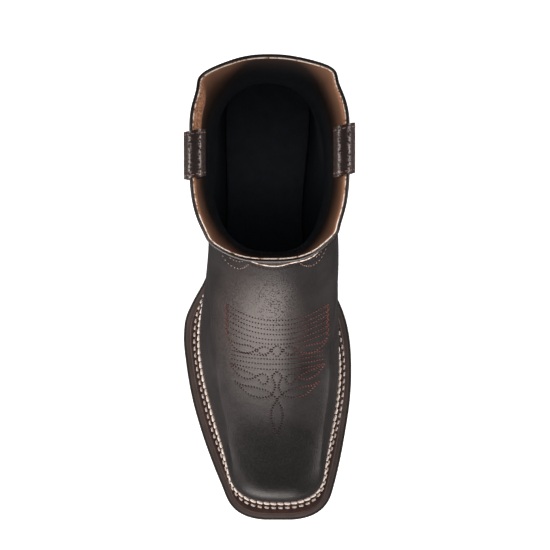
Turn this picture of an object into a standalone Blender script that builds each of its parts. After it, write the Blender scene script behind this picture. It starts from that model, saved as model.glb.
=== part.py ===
"""A right western boot: square toe, welted sole, stacked heel and a pull-on shaft with two pull straps.

Sizes are in millimetres and are turned to metres when a mesh is made. A station is the distance back from the
tip of the toe. The toe points to -Y, the inner (medial) side of the foot is +X, and the floor is z = 0.
"""

import math

import bmesh
import bpy
import numpy as np

MM = 0.001
GAP = 0.3

# Driving dimensions
LENGTH = 304.0
HEEL_HEIGHT = 34.0
HEEL_CAP_HEIGHT = 7.0
HEEL_BREAST = 238.0
HEEL_BACK_SLOPE = 5.0
HEEL_SIDE_SLOPE = 2.0
TOE_SPRING = 9.0
TREAD_FRONT = 68.0
TREAD_BACK = 122.0
SOLE_FOREFOOT = 6.0
SOLE_HEEL = 5.0
SOLE_EDGE_ROUND = 0.9
TOE_ROUND_LENGTH = 20.0
TOE_ROUND_POWER = 3.0
HEEL_ROUND_LENGTH = 34.0
HEEL_ROUND_POWER = 2.1
WELT_THICKNESS = 4.0
WELT_SLOPE = 0.6
WELT_LIP = 4.0
WELT_END = 0.52
INSOLE_THICKNESS = 3.0
WALL = 3.0
SHAFT_RECESS = 0.9
BAND_LEVEL = 13.72
SIDE_SEAM_SHIFT = 0.19
SCALLOP_POWER = 2.2
STRAP_THICKNESS = 2.0
STRAP_LEG = 34.0

# Mesh density
HALF_COLUMNS = 36
END_SHARE = 0.15
VAMP_RINGS = 15
VAMP_RING_EASE = 1.2
SHAFT_RINGS = 7
STEP_LEVELS = 0.03
BAND_STEP_LEVELS = 0.012
PIPING_HALF = 0.011
STRAP_COLUMNS = 5
END_AROUND = 0.012
SHARP_ANGLE = math.radians(40.0)

# Outsole seen from above
OUTSOLE_OUTLINE = (
    # station, lateral edge, medial edge
    (0, -22.5, 37.0),
    (20, -29.4, 43.6),
    (34, -35.2, 47.2),
    (58, -43.9, 51.9),
    (82, -50.6, 55.3),
    (104, -54.4, 56.0),
    (123, -56.0, 54.6),
    (135, -54.6, 51.9),
    (147, -49.2, 47.2),
    (159, -42.5, 40.5),
    (174, -36.5, 34.0),
    (196, -33.3, 29.5),
    (222, -33.0, 30.0),
    (250, -34.0, 33.4),
    (276, -34.2, 34.2),
    (304, -34.2, 34.2),
)

# Side profile of the upper: where each level crosses the front line and the back line
PROFILE_COLUMNS = ("front", "front_up", "back", "back_up", "follow", "rise")
PROFILE = (
    # station and height above the toe's feather line, station and height above the heel seat,
    # how far the level follows the sole's curve, rise of the sides above the ends
    (13.0, 0.0, 301.0, 0.0, 1.00, 0.0),        # feather line
    (12.2, 10.0, 302.6, 10.5, 1.00, 0.0),      # fullest wall
    (14.0, 20.0, 302.6, 21.0, 0.95, 0.0),      # toe edge
    (21.0, 27.0, 301.2, 30.0, 0.85, 0.0),      # toe top
    (38.0, 32.5, 298.5, 40.0, 0.70, 0.0),      # toe plateau
    (65.0, 39.5, 295.5, 51.0, 0.50, 0.0),      # low vamp
    (92.0, 49.5, 293.0, 62.0, 0.32, 0.0),      # vamp
    (118.0, 63.0, 291.2, 73.0, 0.16, 0.0),     # low instep
    (140.5, 79.0, 290.0, 84.0, 0.05, 0.0),     # instep
    (157.0, 97.0, 289.3, 97.0, 0.00, 0.0),     # low throat
    (168.0, 118.0, 289.0, 112.0, 0.00, 0.0),   # throat
    (173.5, 143.0, 289.3, 132.0, 0.00, 0.0),   # ankle
    (175.0, 173.0, 290.5, 160.0, 0.00, 1.0),   # low shaft
    (174.3, 210.0, 293.6, 192.0, 0.00, 7.0),   # shaft
    (171.0, 256.0, 299.4, 229.0, 0.00, 24.0),  # collar
)

# Width of the upper on each side of the centre, at four stations of each side
LATERAL_STATIONS = (34.0, 122.0, 190.0, 262.0)
MEDIAL_STATIONS = (34.0, 104.0, 185.0, 262.0)
WIDTHS = (
    # lateral toe, ball, waist, heel, medial toe, ball, waist, heel
    (25.5, 44.0, 31.0, 31.0, 37.5, 46.3, 27.0, 31.0),  # feather line
    (26.3, 45.0, 33.0, 33.0, 38.3, 47.3, 31.0, 33.0),  # fullest wall
    (25.5, 45.0, 35.5, 34.0, 37.5, 47.5, 36.0, 34.0),  # toe edge
    (22.0, 44.0, 36.8, 34.3, 34.0, 47.0, 41.3, 34.3),  # toe top
    (17.0, 41.5, 38.2, 34.5, 29.5, 45.0, 44.6, 34.5),  # toe plateau
    (15.0, 36.5, 38.6, 34.8, 27.0, 41.0, 46.4, 35.0),  # low vamp
    (14.0, 35.5, 38.4, 35.3, 26.0, 40.0, 46.3, 35.7),  # vamp
    (20.0, 36.0, 38.0, 36.0, 30.0, 40.0, 44.8, 36.8),  # low instep
    (36.0, 37.0, 37.6, 37.0, 38.0, 41.0, 42.8, 37.8),  # instep
    (37.0, 37.5, 38.0, 38.0, 39.0, 40.0, 41.0, 39.0),  # low throat
    (38.5, 38.5, 38.5, 38.5, 40.0, 40.0, 40.0, 40.0),  # throat
    (40.0, 40.0, 40.0, 40.0, 41.2, 41.2, 41.2, 41.2),  # ankle
    (42.3, 42.3, 42.3, 42.3, 44.0, 44.0, 44.0, 44.0),  # low shaft
    (44.8, 44.8, 44.8, 44.8, 47.0, 47.0, 47.0, 47.0),  # shaft
    (47.4, 47.4, 47.4, 47.4, 50.7, 50.7, 50.7, 50.7),  # collar
)

# How each level closes at its two ends
END_COLUMNS = ("front_x", "nose_length", "nose_power", "back_x", "heel_length", "heel_power")
ENDS = (
    # sideways place of the front, length and squareness of the rounded front, and the same for the back
    (7.3, 20.0, 2.70, 0.0, 34.0, 2.2),   # feather line
    (7.3, 20.0, 2.70, 0.0, 35.0, 2.2),   # fullest wall
    (7.2, 21.0, 2.60, 0.0, 36.0, 2.2),   # toe edge
    (7.0, 25.0, 2.40, 0.0, 37.0, 2.2),   # toe top
    (6.8, 34.0, 2.20, 0.0, 38.0, 2.2),   # toe plateau
    (6.6, 50.0, 2.10, 0.0, 39.0, 2.2),   # low vamp
    (6.5, 62.0, 2.05, 0.0, 41.0, 2.2),   # vamp
    (6.4, 70.0, 2.00, 0.0, 43.0, 2.2),   # low instep
    (6.2, 72.0, 2.00, 0.0, 46.0, 2.2),   # instep
    (6.0, 70.0, 2.05, 0.0, 50.0, 2.25),  # low throat
    (5.6, 64.0, 2.10, 0.0, 53.0, 2.3),   # throat
    (5.0, 58.0, 2.20, 0.0, 55.0, 2.4),   # ankle
    (4.5, 58.0, 2.35, 0.1, 56.0, 2.5),   # low shaft
    (3.9, 60.0, 2.45, 0.5, 57.0, 2.8),   # shaft
    (3.2, 63.0, 2.70, 1.5, 46.0, 2.3),   # collar
)

# Corners where the collar turns from its high sides into its dipped front and back
COLLAR_CORNER_LEVELS = 2.0
COLLAR_CORNERS = (
    # side, around, height, spread
    (-1, 0.152, 1.6, 0.035),
    (-1, 0.840, 5.0, 0.050),
    (1, 0.189, 1.6, 0.035),
    (1, 0.870, 6.5, 0.050),
)

# Top edge of the vamp in front and of the counter behind, as levels of the upper from toe (0) to heel (1)
VAMP_LINE = (
    # around, level on the lateral side, level on the medial side
    (0.00, 10.12, 10.12),
    (0.06, 10.10, 10.12),
    (0.10, 10.02, 9.88),
    (0.15, 9.65, 9.40),
    (0.20, 9.18, 8.95),
    (0.25, 8.72, 8.65),
    (0.30, 8.30, 8.35),
    (0.36, 7.75, 7.75),
    (0.42, 7.15, 7.15),
    (0.50, 6.20, 6.20),
    (0.58, 5.40, 5.40),
    (0.69, 4.80, 4.80),
    (0.82, 5.40, 5.40),
    (0.92, 6.60, 6.60),
    (1.00, 7.30, 7.30),
)

# Pull straps, and their path over the collar: up the outer leg, round the fold and down the inner leg
STRAPS = (
    # name, side, middle station, width
    ("pull_strap_lateral", -1, 237.0, 28.7),
    ("pull_strap_medial", 1, 239.5, 30.5),
)
STRAP_OUTER_LEG = (1.0, 0.72, 0.46, 0.3, 0.1)
STRAP_INNER_LEG = (0.3, 0.5, 0.75, 1.0)
STRAP_BAND_SHARE = 0.5
STRAP_FOLD = (
    # distance out from the wall's face, height above the collar
    (1.9, 2.0),
    (1.9, 6.0),
    (0.4, 9.3),
    (-3.2, 10.8),
    (-7.2, 9.4),
    (-9.2, 5.6),
    (-8.2, 0.6),
    (-6.4, -4.0),
)

# Colours (linear), roughness
FINISHES = {
    "upper": ((0.042, 0.034, 0.033), 0.45),
    "outsole": ((0.100, 0.082, 0.070), 0.60),
    "welt": ((0.045, 0.022, 0.017), 0.55),
    "heel_stack": ((0.068, 0.040, 0.026), 0.55),
    "heel_cap": ((0.012, 0.011, 0.010), 0.70),
    "insole": ((0.030, 0.022, 0.017), 0.80),
    "pull_strap_lateral": ((0.030, 0.020, 0.017), 0.50),
    "pull_strap_medial": ((0.030, 0.020, 0.017), 0.50),
}


def smooth(places, values, at):
    """Read a cubic curve through (places, values), straight beyond its ends, at one or many places.

    The values are one row, or a row for each place that is read.
    """
    places = np.asarray(places, float)
    at = np.asarray(at, float)
    values = np.broadcast_to(np.asarray(values, float), at.shape + places.shape)
    slopes = np.gradient(values, places, axis=-1)
    low = np.clip(np.searchsorted(places, at) - 1, 0, len(places) - 2)
    step = places[low + 1] - places[low]
    share = np.clip((at - places[low]) / step, 0.0, 1.0)
    beyond = at - np.clip(at, places[0], places[-1])

    def pick(rows, index):
        return np.take_along_axis(rows, index[..., None], -1)[..., 0]

    start, end = pick(values, low), pick(values, low + 1)
    start_slope, end_slope = pick(slopes, low), pick(slopes, low + 1)
    end_slope_here = np.where(beyond > 0, end_slope, start_slope)
    return (
        start * (1 + 2 * share) * (1 - share) ** 2
        + end * share ** 2 * (3 - 2 * share)
        + step * share * (1 - share) * (start_slope * (1 - share) - end_slope * share)
        + beyond * end_slope_here
    )


def rounded_end(distance, length, power):
    """Share of the full width at a distance in from a rounded end: 0 at the tip and 1 past its length."""
    left = 1.0 - np.clip(distance / length, 0.0, 1.0)
    return (1.0 - left ** power) ** (1.0 / power)


def along(around):
    """Share of the way from toe to heel for places spread round an oval, close together at its two ends."""
    pace = 1.0 / (1.0 - END_SHARE)
    from_end = np.minimum(around, 1.0 - np.asarray(around, float))
    share = np.where(
        from_end < END_SHARE,
        pace * from_end ** 2 / (2.0 * END_SHARE),
        pace * (from_end - END_SHARE / 2.0),
    )
    return np.where(np.asarray(around) > 0.5, 1.0 - share, share)


def around_at(share):
    """Place round the oval for a share of the way that lies between its close-set ends."""
    return share * (1.0 - END_SHARE) + END_SHARE / 2.0


def ease(share):
    """Slow start and slow end between 0 and 1."""
    share = np.clip(share, 0.0, 1.0)
    return share * share * (3.0 - 2.0 * share)


def sole_bottom(station):
    """Height of the outsole's underside: toe spring, flat tread, arch and heel seat."""
    spring = TOE_SPRING * np.clip((TREAD_FRONT - station) / TREAD_FRONT, 0.0, None) ** 2
    return spring + HEEL_HEIGHT * ease((station - TREAD_BACK) / (HEEL_BREAST - TREAD_BACK))


def sole_top(station):
    """Height of the outsole's upper face."""
    thin = ease((station - TREAD_BACK) / (HEEL_BREAST - TREAD_BACK))
    return sole_bottom(station) + SOLE_FOREFOOT + (SOLE_HEEL - SOLE_FOREFOOT) * thin


def feather_height(station):
    """Height of the upper's lower edge, just clear of the outsole."""
    return sole_top(station) + GAP


def plan_point(station, x, z):
    """Stack station, x and z as points of the boot's own frame."""
    return np.stack(np.broadcast_arrays(x, station - LENGTH / 2.0, z), axis=-1)


def outsole_edge(around, side):
    """Points of the outsole's edge in plan."""
    station = LENGTH * along(around)
    rows = np.array(OUTSOLE_OUTLINE, float)
    lateral, medial = (smooth(rows[:, 0], rows[:, k], station) for k in (1, 2))
    toe_x = (OUTSOLE_OUTLINE[0][1] + OUTSOLE_OUTLINE[0][2]) / 2.0
    middle = toe_x * (1.0 - station / LENGTH)
    closing = rounded_end(station, TOE_ROUND_LENGTH, TOE_ROUND_POWER)
    closing = closing * rounded_end(LENGTH - station, HEEL_ROUND_LENGTH, HEEL_ROUND_POWER)
    return plan_point(station, middle + (np.where(side > 0, medial, lateral) - middle) * closing, 0.0)


def level_value(table, column, level):
    """Read one column of a table of levels at any level."""
    rows = np.array(table, float)
    return smooth(np.arange(len(rows)), rows[:, column], level)


def collar_corner(level, around, side):
    """How far the collar's corners stand out; they fade out down the shaft."""
    top = len(PROFILE) - 1.0
    near_top = np.clip(1.0 - (top - level) / COLLAR_CORNER_LEVELS, 0.0, 1.0) ** 2
    reach = np.zeros(np.shape(around))
    for corner_side, place, height, spread in COLLAR_CORNERS:
        bump = height * np.exp(-(((around - place) / spread) ** 2))
        reach = reach + np.where(side == corner_side, bump, 0.0)
    return near_top * reach


def vamp_level(around, side):
    """Level of the top edge of vamp and counter."""
    rows = np.array(VAMP_LINE)
    lateral, medial = (smooth(rows[:, 0], rows[:, k], around) for k in (1, 2))
    return np.where(side > 0, medial, lateral)


def upper_point(level, around, side):
    """Point of the upper's outer form at a level, from toe (around 0) to heel (around 1) on one side."""
    level, around, side = np.broadcast_arrays(np.asarray(level, float), around, side)
    line = {name: level_value(PROFILE, k, level) for k, name in enumerate(PROFILE_COLUMNS)}
    end = {name: level_value(ENDS, k, level) for k, name in enumerate(END_COLUMNS)}
    share = along(around)
    station = line["front"] + share * (line["back"] - line["front"])

    widths = np.stack([level_value(WIDTHS, k, level) for k in range(len(WIDTHS[0]))], axis=-1)
    half = len(LATERAL_STATIONS)
    lateral = -smooth(LATERAL_STATIONS, widths[..., :half], station)
    medial = smooth(MEDIAL_STATIONS, widths[..., half:], station)
    edge = np.where(side > 0, medial, lateral)
    middle = end["front_x"] + share * (end["back_x"] - end["front_x"])
    closing = rounded_end(station - line["front"], end["nose_length"], end["nose_power"])
    closing = closing * rounded_end(line["back"] - station, end["heel_length"], end["heel_power"])
    x = middle + (edge - middle) * closing
    x = x + side * collar_corner(level, around, side)

    toe, heel = PROFILE[0][0], PROFILE[0][2]
    toe_height, heel_height = feather_height(toe), feather_height(heel)
    chord = toe_height + (heel_height - toe_height) * (station - toe) / (heel - toe)
    front_z = toe_height + line["front_up"]
    back_z = heel_height + line["back_up"]
    z = front_z + share * (back_z - front_z)
    z = z + line["follow"] * (feather_height(station) - chord)
    z = z + line["rise"] * (1.0 - np.abs(1.0 - 2.0 * share) ** SCALLOP_POWER)
    return plan_point(station, x, z)


def round_trip(half):
    """Go round from the toe along the medial side to the heel and back along the lateral side."""
    around = np.concatenate([half, half[-2:0:-1]])
    side = np.concatenate([np.ones(len(half)), -np.ones(len(half) - 2)])
    return around, side


def unit(vectors):
    """Vectors of length one."""
    return vectors / np.linalg.norm(vectors, axis=-1, keepdims=True)


def wall_normals(points):
    """Outward directions of a grid of rings that close on themselves."""
    round_way = np.roll(points, -1, axis=1) - np.roll(points, 1, axis=1)
    return unit(np.cross(round_way, np.gradient(points, axis=0)))


def plan_normals(points, closed):
    """Directions in plan to the right of a run of points: outward where it goes toe, medial side, heel."""
    if closed:
        tangent = np.roll(points, -1, axis=0) - np.roll(points, 1, axis=0)
    else:
        tangent = np.gradient(points, axis=0)
    return unit(np.stack([tangent[:, 1], -tangent[:, 0], np.zeros(len(points))], axis=-1))


def finish(name):
    """Material of one piece."""
    colour, roughness = FINISHES[name]
    material = bpy.data.materials.new(name)
    material.use_nodes = True
    shader = material.node_tree.nodes["Principled BSDF"]
    shader.inputs["Base Color"].default_value = (*colour, 1.0)
    shader.inputs["Roughness"].default_value = roughness
    shader.inputs["Metallic"].default_value = 0.0
    return material


def solid(name, points, faces):
    """Closed mesh object from points in millimetres."""
    mesh = bpy.data.meshes.new(name)
    mesh.from_pydata((np.asarray(points) * MM).tolist(), [], faces)
    form = bmesh.new()
    form.from_mesh(mesh)
    bmesh.ops.recalc_face_normals(form, faces=form.faces)
    form.to_mesh(mesh)
    form.free()
    mesh.shade_smooth()
    mesh.set_sharp_from_angle(angle=SHARP_ANGLE)
    mesh.materials.append(finish(name))
    piece = bpy.data.objects.new(name, mesh)
    bpy.context.scene.collection.objects.link(piece)
    return piece


def ring_faces(first, second, count):
    """Quads between two rings of points."""
    turns = [(k, (k + 1) % count) for k in range(count)]
    return [(first + a, first + b, second + b, second + a) for a, b in turns]


def loft(name, loops):
    """Solid through closed loops of equal length, with a flat face at each end."""
    loops = np.asarray(loops)
    sections, count = loops.shape[:2]
    faces = [tuple(range(count)), tuple(range((sections - 1) * count, sections * count))]
    for k in range(sections - 1):
        faces += ring_faces(k * count, (k + 1) * count, count)
    return solid(name, loops.reshape(-1, 3), faces)


def half_columns():
    """Places from toe to heel, with two more beside the side seam for its piping."""
    regular = np.linspace(0.0, 1.0, HALF_COLUMNS + 1)
    return np.sort(np.concatenate([regular, [0.5 - PIPING_HALF, 0.5 + PIPING_HALF]]))


def upper_grid(columns, side):
    """Level and place of every point of the wall's rings, and which rings lie in the recessed shaft.

    The rings under the vamp line follow it, and so do the first rings above it. The columns lean toward
    the heel at that line, so that the side seam runs straight down to where vamp and counter meet.
    """
    lean = 4.0 * SIDE_SEAM_SHIFT * columns * (1.0 - columns)
    line = vamp_level(columns + lean, side)
    top = len(PROFILE) - 1.0
    levels, places, recessed = [], [], []
    for share in np.linspace(0.0, 1.0, VAMP_RINGS + 1):
        place = columns + lean * share ** 2
        levels.append(vamp_level(place, side) * share ** VAMP_RING_EASE)
        places.append(place)
        recessed.append(False)
    for share in np.linspace(0.0, 1.0, SHAFT_RINGS + 1):
        start = line + STEP_LEVELS
        levels.append(start + (BAND_LEVEL - start) * share)
        places.append(columns + lean * (1.0 - share))
        recessed.append(True)
    for level in (BAND_LEVEL + BAND_STEP_LEVELS, (BAND_LEVEL + top) / 2.0, top):
        levels.append(np.full_like(columns, level))
        places.append(columns)
        recessed.append(False)
    return np.array(levels), np.array(places), np.array(recessed)


def make_upper():
    """Hollow wall: outer form, stepped back over the shaft, and the inner face a wall's thickness inside."""
    columns, side = round_trip(half_columns())
    levels, places, recessed = upper_grid(columns, side)
    form = upper_point(levels, places, side)
    normals = wall_normals(form)
    for edge in (0, -1):
        normals[edge] = plan_normals(form[edge], closed=True)
    piping = np.isclose(columns, 0.5)
    under_strap = form[..., 2] > form[-1, :, 2] - STRAP_LEG - STRAP_THICKNESS
    depth = np.where(recessed[:, None] & ~(piping & ~under_strap), SHAFT_RECESS, 0.0)
    outer = form - normals * depth[..., None]
    inner = form - normals * WALL

    rings, count = levels.shape
    total = rings * count
    faces = ring_faces(0, total, count) + ring_faces(total - count, 2 * total - count, count)
    for k in range(rings - 1):
        faces += ring_faces(k * count, (k + 1) * count, count)
        faces += ring_faces(total + k * count, total + (k + 1) * count, count)
    return solid("upper", np.concatenate([outer.reshape(-1, 3), inner.reshape(-1, 3)]), faces)


def slab_ring(places):
    """Both sides at every place, from the toe along the medial side and back, with short flat ends."""
    around = np.concatenate([places, places[::-1]])
    side = np.concatenate([np.ones(len(places)), -np.ones(len(places))])
    return around, side


def slab_columns():
    """Places from toe to heel for a slab's sections."""
    places = np.linspace(0.0, 1.0, HALF_COLUMNS + 1)
    places[0], places[-1] = END_AROUND, 1.0 - END_AROUND
    return places


def slab_sections(ring, layers):
    """Loops across a slab; each layer is an inset from the edge and the height at a station."""
    count = len(ring) // 2
    normals = plan_normals(ring, closed=True)
    medial, lateral = [], []
    for inset, height in layers:
        moved = ring - normals * inset
        moved[:, 2] = height(moved[:, 1] + LENGTH / 2.0)
        medial.append(moved[:count])
        lateral.append(moved[count:][::-1])
    return np.stack(medial + lateral[::-1], axis=1)


def make_outsole():
    """Outsole with softened edges."""
    layers = (
        (SOLE_EDGE_ROUND, sole_bottom),
        (0.0, lambda station: sole_bottom(station) + SOLE_EDGE_ROUND),
        (0.0, lambda station: sole_top(station) - SOLE_EDGE_ROUND),
        (SOLE_EDGE_ROUND, sole_top),
    )
    return loft("outsole", slab_sections(outsole_edge(*slab_ring(slab_columns())), layers))


def make_insole():
    """Insole that fills the upper's open underside."""
    inset = WALL + GAP
    layers = (
        (inset, feather_height),
        (inset, lambda station: feather_height(station) + INSOLE_THICKNESS),
    )
    return loft("insole", slab_sections(upper_point(0.0, *slab_ring(slab_columns())), layers))


def make_welt():
    """Strip between the upper's wall and the outsole's lip, from the lateral waist round the toe."""
    half = np.linspace(0.0, WELT_END, HALF_COLUMNS)
    around = np.concatenate([half[::-1], half[1:]])
    side = np.where(np.arange(len(around)) < len(half), -1.0, 1.0)
    foot = upper_point(0.0, around, side)
    wall = upper_point(WELT_THICKNESS / PROFILE[1][1], around, side)
    edge = outsole_edge(around, side)
    inward = -plan_normals(edge, closed=False)
    outer_top = WELT_THICKNESS - WELT_SLOPE
    loops = []
    for points, lift in (
        (foot + GAP * plan_normals(foot, closed=False), 0.0),
        (wall + GAP * plan_normals(wall, closed=False), WELT_THICKNESS),
        (edge + inward * (WELT_LIP + SOLE_EDGE_ROUND), outer_top),
        (edge + inward * WELT_LIP, outer_top - SOLE_EDGE_ROUND),
        (edge + inward * WELT_LIP, 0.0),
    ):
        points[:, 2] = feather_height(points[:, 1] + LENGTH / 2.0) + lift
        loops.append(points)
    return loft("welt", np.stack(loops, axis=1))


def heel_loop(height, taper):
    """Outline of the heel at a height: straight breast in front and the outsole's outline behind."""
    places = np.linspace(around_at(HEEL_BREAST / LENGTH), 1.0 - END_AROUND, HALF_COLUMNS // 2)
    around, side = slab_ring(places)
    ring = outsole_edge(around, side)
    depth = (ring[:, 1] + LENGTH / 2.0 - HEEL_BREAST) / (LENGTH - HEEL_BREAST)
    ring[:, 1] -= taper * HEEL_BACK_SLOPE * depth
    ring[:, 0] -= taper * HEEL_SIDE_SLOPE * side
    ring[:, 2] = height
    return ring


def make_heel():
    """Stacked heel and its rubber cap, both narrowing toward the floor."""
    top = HEEL_HEIGHT - GAP
    split = HEEL_CAP_HEIGHT / HEEL_HEIGHT
    loft("heel_stack", [heel_loop(HEEL_CAP_HEIGHT, 1.0 - split), heel_loop(top, 0.0)])
    loft("heel_cap", [heel_loop(0.0, 1.0), heel_loop(HEEL_CAP_HEIGHT - GAP, 1.0 - split)])


def make_strap(name, side, middle, width):
    """Leather strap folded over the collar, one leg on each face of the wall."""
    top = len(PROFILE) - 1.0
    front, back = PROFILE[-1][0], PROFILE[-1][2]
    stations = middle + width * np.linspace(-0.5, 0.5, STRAP_COLUMNS)
    around = around_at((stations - front) / (back - front))
    rim = upper_point(top, around, side)
    out = side * plan_normals(rim, closed=False)
    leg_levels = STRAP_LEG / (rim - upper_point(top - 1.0, around, side))[:, 2].mean()
    face = STRAP_THICKNESS / 2.0 + GAP

    def leg_point(share, distance):
        return upper_point(top - leg_levels * share, around, side) + out * distance

    outer = [leg_point(k, face - (SHAFT_RECESS if k > STRAP_BAND_SHARE else 0.0)) for k in STRAP_OUTER_LEG]
    fold = [rim + out * distance + np.array([0.0, 0.0, height]) for distance, height in STRAP_FOLD]
    inner = [leg_point(k, -WALL - face) for k in STRAP_INNER_LEG]
    path = np.array(outer + fold + inner)

    normal = unit(np.cross(np.gradient(path, axis=0), np.gradient(path, axis=1)))
    half = normal * STRAP_THICKNESS / 2.0
    return loft(name, np.concatenate([path + half, (path - half)[:, ::-1]], axis=1))


def main():
    """Clear the scene and make every piece."""
    for thing in list(bpy.data.objects):
        bpy.data.objects.remove(thing)
    make_upper()
    make_outsole()
    make_insole()
    make_welt()
    make_heel()
    for name, side, middle, width in STRAPS:
        make_strap(name, side, middle, width)


main()
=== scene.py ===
"""Western boot: leather, lining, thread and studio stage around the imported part.

Tables give sizes in millimetres in the part's own frame: toe toward -Y, inner side of the foot toward +X,
floor at z = 0. A station is the distance back from the tip of the toe. The charts of the sewn lines are
pixels of the photograph's 550 x 550 frame, followed from the camera down onto the boot.
"""

import math

import bpy
import numpy as np
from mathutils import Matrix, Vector
from mathutils.bvhtree import BVHTree
from mathutils.kdtree import KDTree


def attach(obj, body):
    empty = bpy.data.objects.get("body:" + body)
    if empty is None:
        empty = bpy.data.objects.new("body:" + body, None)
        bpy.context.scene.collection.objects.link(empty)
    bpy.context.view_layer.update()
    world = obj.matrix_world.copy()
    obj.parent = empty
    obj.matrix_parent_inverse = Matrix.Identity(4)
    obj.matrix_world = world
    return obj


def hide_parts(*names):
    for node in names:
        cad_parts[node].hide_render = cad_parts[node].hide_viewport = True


bl_info = {
    "name": "Western boot looks",
    "version": (1, 0, 0),
    "blender": (4, 5, 0),
    "location": "View3D > Sidebar > Western boot",
    "description": "Dresses the packed western boot with leather, lining, thread and a studio stage",
    "category": "Object",
}

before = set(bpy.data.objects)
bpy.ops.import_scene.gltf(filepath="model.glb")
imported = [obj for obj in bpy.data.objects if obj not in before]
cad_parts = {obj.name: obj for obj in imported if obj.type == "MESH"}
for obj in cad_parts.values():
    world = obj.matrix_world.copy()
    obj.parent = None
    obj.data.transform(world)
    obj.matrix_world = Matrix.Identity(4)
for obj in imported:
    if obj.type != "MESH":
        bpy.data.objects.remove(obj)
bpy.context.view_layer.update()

MM = 0.001

# The photograph's camera, straight above the boot
FRAME_PIXELS = 550
FRAME_MIDDLE = 275.0
MM_PER_PIXEL = 0.67
CAMERA_HEIGHT = 3200.0
CAMERA_X = 5.0
CAMERA_Y = 11.5
SENSOR = 36.0
CAMERA_REACH = 20.0

# The last and the shaft, as in the part's source
LENGTH = 304.0
HEEL_HEIGHT = 34.0
HEEL_BREAST = 238.0
TOE_SPRING = 9.0
TREAD_FRONT = 68.0
TREAD_BACK = 122.0
SOLE_FOREFOOT = 6.0
SOLE_HEEL = 5.0
GAP = 0.3
WALL = 3.0
SHAFT_RECESS = 0.9
BAND_LEVEL = 13.72
TOP_LEVEL = 14.0
SIDE_SEAM_SHIFT = 0.19
SCALLOP_POWER = 2.2
END_SHARE = 0.15
VAMP_RING_EASE = 1.2

LEVELS = (
    # front station and height, back station and height, follow, rise, front x, nose length and power,
    # back x, heel length and power
    (13.0, 0.0, 301.0, 0.0, 1.00, 0.0, 7.3, 20.0, 2.70, 0.0, 34.0, 2.2),
    (12.2, 10.0, 302.6, 10.5, 1.00, 0.0, 7.3, 20.0, 2.70, 0.0, 35.0, 2.2),
    (14.0, 20.0, 302.6, 21.0, 0.95, 0.0, 7.2, 21.0, 2.60, 0.0, 36.0, 2.2),
    (21.0, 27.0, 301.2, 30.0, 0.85, 0.0, 7.0, 25.0, 2.40, 0.0, 37.0, 2.2),
    (38.0, 32.5, 298.5, 40.0, 0.70, 0.0, 6.8, 34.0, 2.20, 0.0, 38.0, 2.2),
    (65.0, 39.5, 295.5, 51.0, 0.50, 0.0, 6.6, 50.0, 2.10, 0.0, 39.0, 2.2),
    (92.0, 49.5, 293.0, 62.0, 0.32, 0.0, 6.5, 62.0, 2.05, 0.0, 41.0, 2.2),
    (118.0, 63.0, 291.2, 73.0, 0.16, 0.0, 6.4, 70.0, 2.00, 0.0, 43.0, 2.2),
    (140.5, 79.0, 290.0, 84.0, 0.05, 0.0, 6.2, 72.0, 2.00, 0.0, 46.0, 2.2),
    (157.0, 97.0, 289.3, 97.0, 0.00, 0.0, 6.0, 70.0, 2.05, 0.0, 50.0, 2.25),
    (168.0, 118.0, 289.0, 112.0, 0.00, 0.0, 5.6, 64.0, 2.10, 0.0, 53.0, 2.3),
    (173.5, 143.0, 289.3, 132.0, 0.00, 0.0, 5.0, 58.0, 2.20, 0.0, 55.0, 2.4),
    (175.0, 173.0, 290.5, 160.0, 0.00, 1.0, 4.5, 58.0, 2.35, 0.1, 56.0, 2.5),
    (174.3, 210.0, 293.6, 192.0, 0.00, 7.0, 3.9, 60.0, 2.45, 0.5, 57.0, 2.8),
    (171.0, 256.0, 299.4, 229.0, 0.00, 24.0, 3.2, 63.0, 2.70, 1.5, 46.0, 2.3),
)
WIDTH_STATIONS = {-1: (34.0, 122.0, 190.0, 262.0), 1: (34.0, 104.0, 185.0, 262.0)}
WIDTHS = (
    # lateral toe, ball, waist, heel, medial toe, ball, waist, heel
    (25.5, 44.0, 31.0, 31.0, 37.5, 46.3, 27.0, 31.0),
    (26.3, 45.0, 33.0, 33.0, 38.3, 47.3, 31.0, 33.0),
    (25.5, 45.0, 35.5, 34.0, 37.5, 47.5, 36.0, 34.0),
    (22.0, 44.0, 36.8, 34.3, 34.0, 47.0, 41.3, 34.3),
    (17.0, 41.5, 38.2, 34.5, 29.5, 45.0, 44.6, 34.5),
    (15.0, 36.5, 38.6, 34.8, 27.0, 41.0, 46.4, 35.0),
    (14.0, 35.5, 38.4, 35.3, 26.0, 40.0, 46.3, 35.7),
    (20.0, 36.0, 38.0, 36.0, 30.0, 40.0, 44.8, 36.8),
    (36.0, 37.0, 37.6, 37.0, 38.0, 41.0, 42.8, 37.8),
    (37.0, 37.5, 38.0, 38.0, 39.0, 40.0, 41.0, 39.0),
    (38.5, 38.5, 38.5, 38.5, 40.0, 40.0, 40.0, 40.0),
    (40.0, 40.0, 40.0, 40.0, 41.2, 41.2, 41.2, 41.2),
    (42.3, 42.3, 42.3, 42.3, 44.0, 44.0, 44.0, 44.0),
    (44.8, 44.8, 44.8, 44.8, 47.0, 47.0, 47.0, 47.0),
    (47.4, 47.4, 47.4, 47.4, 50.7, 50.7, 50.7, 50.7),
)
COLLAR_CORNER_LEVELS = 2.0
COLLAR_CORNERS = (
    # side, around, height, spread
    (-1, 0.152, 1.6, 0.035),
    (-1, 0.840, 5.0, 0.050),
    (1, 0.189, 1.6, 0.035),
    (1, 0.870, 6.5, 0.050),
)
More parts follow.
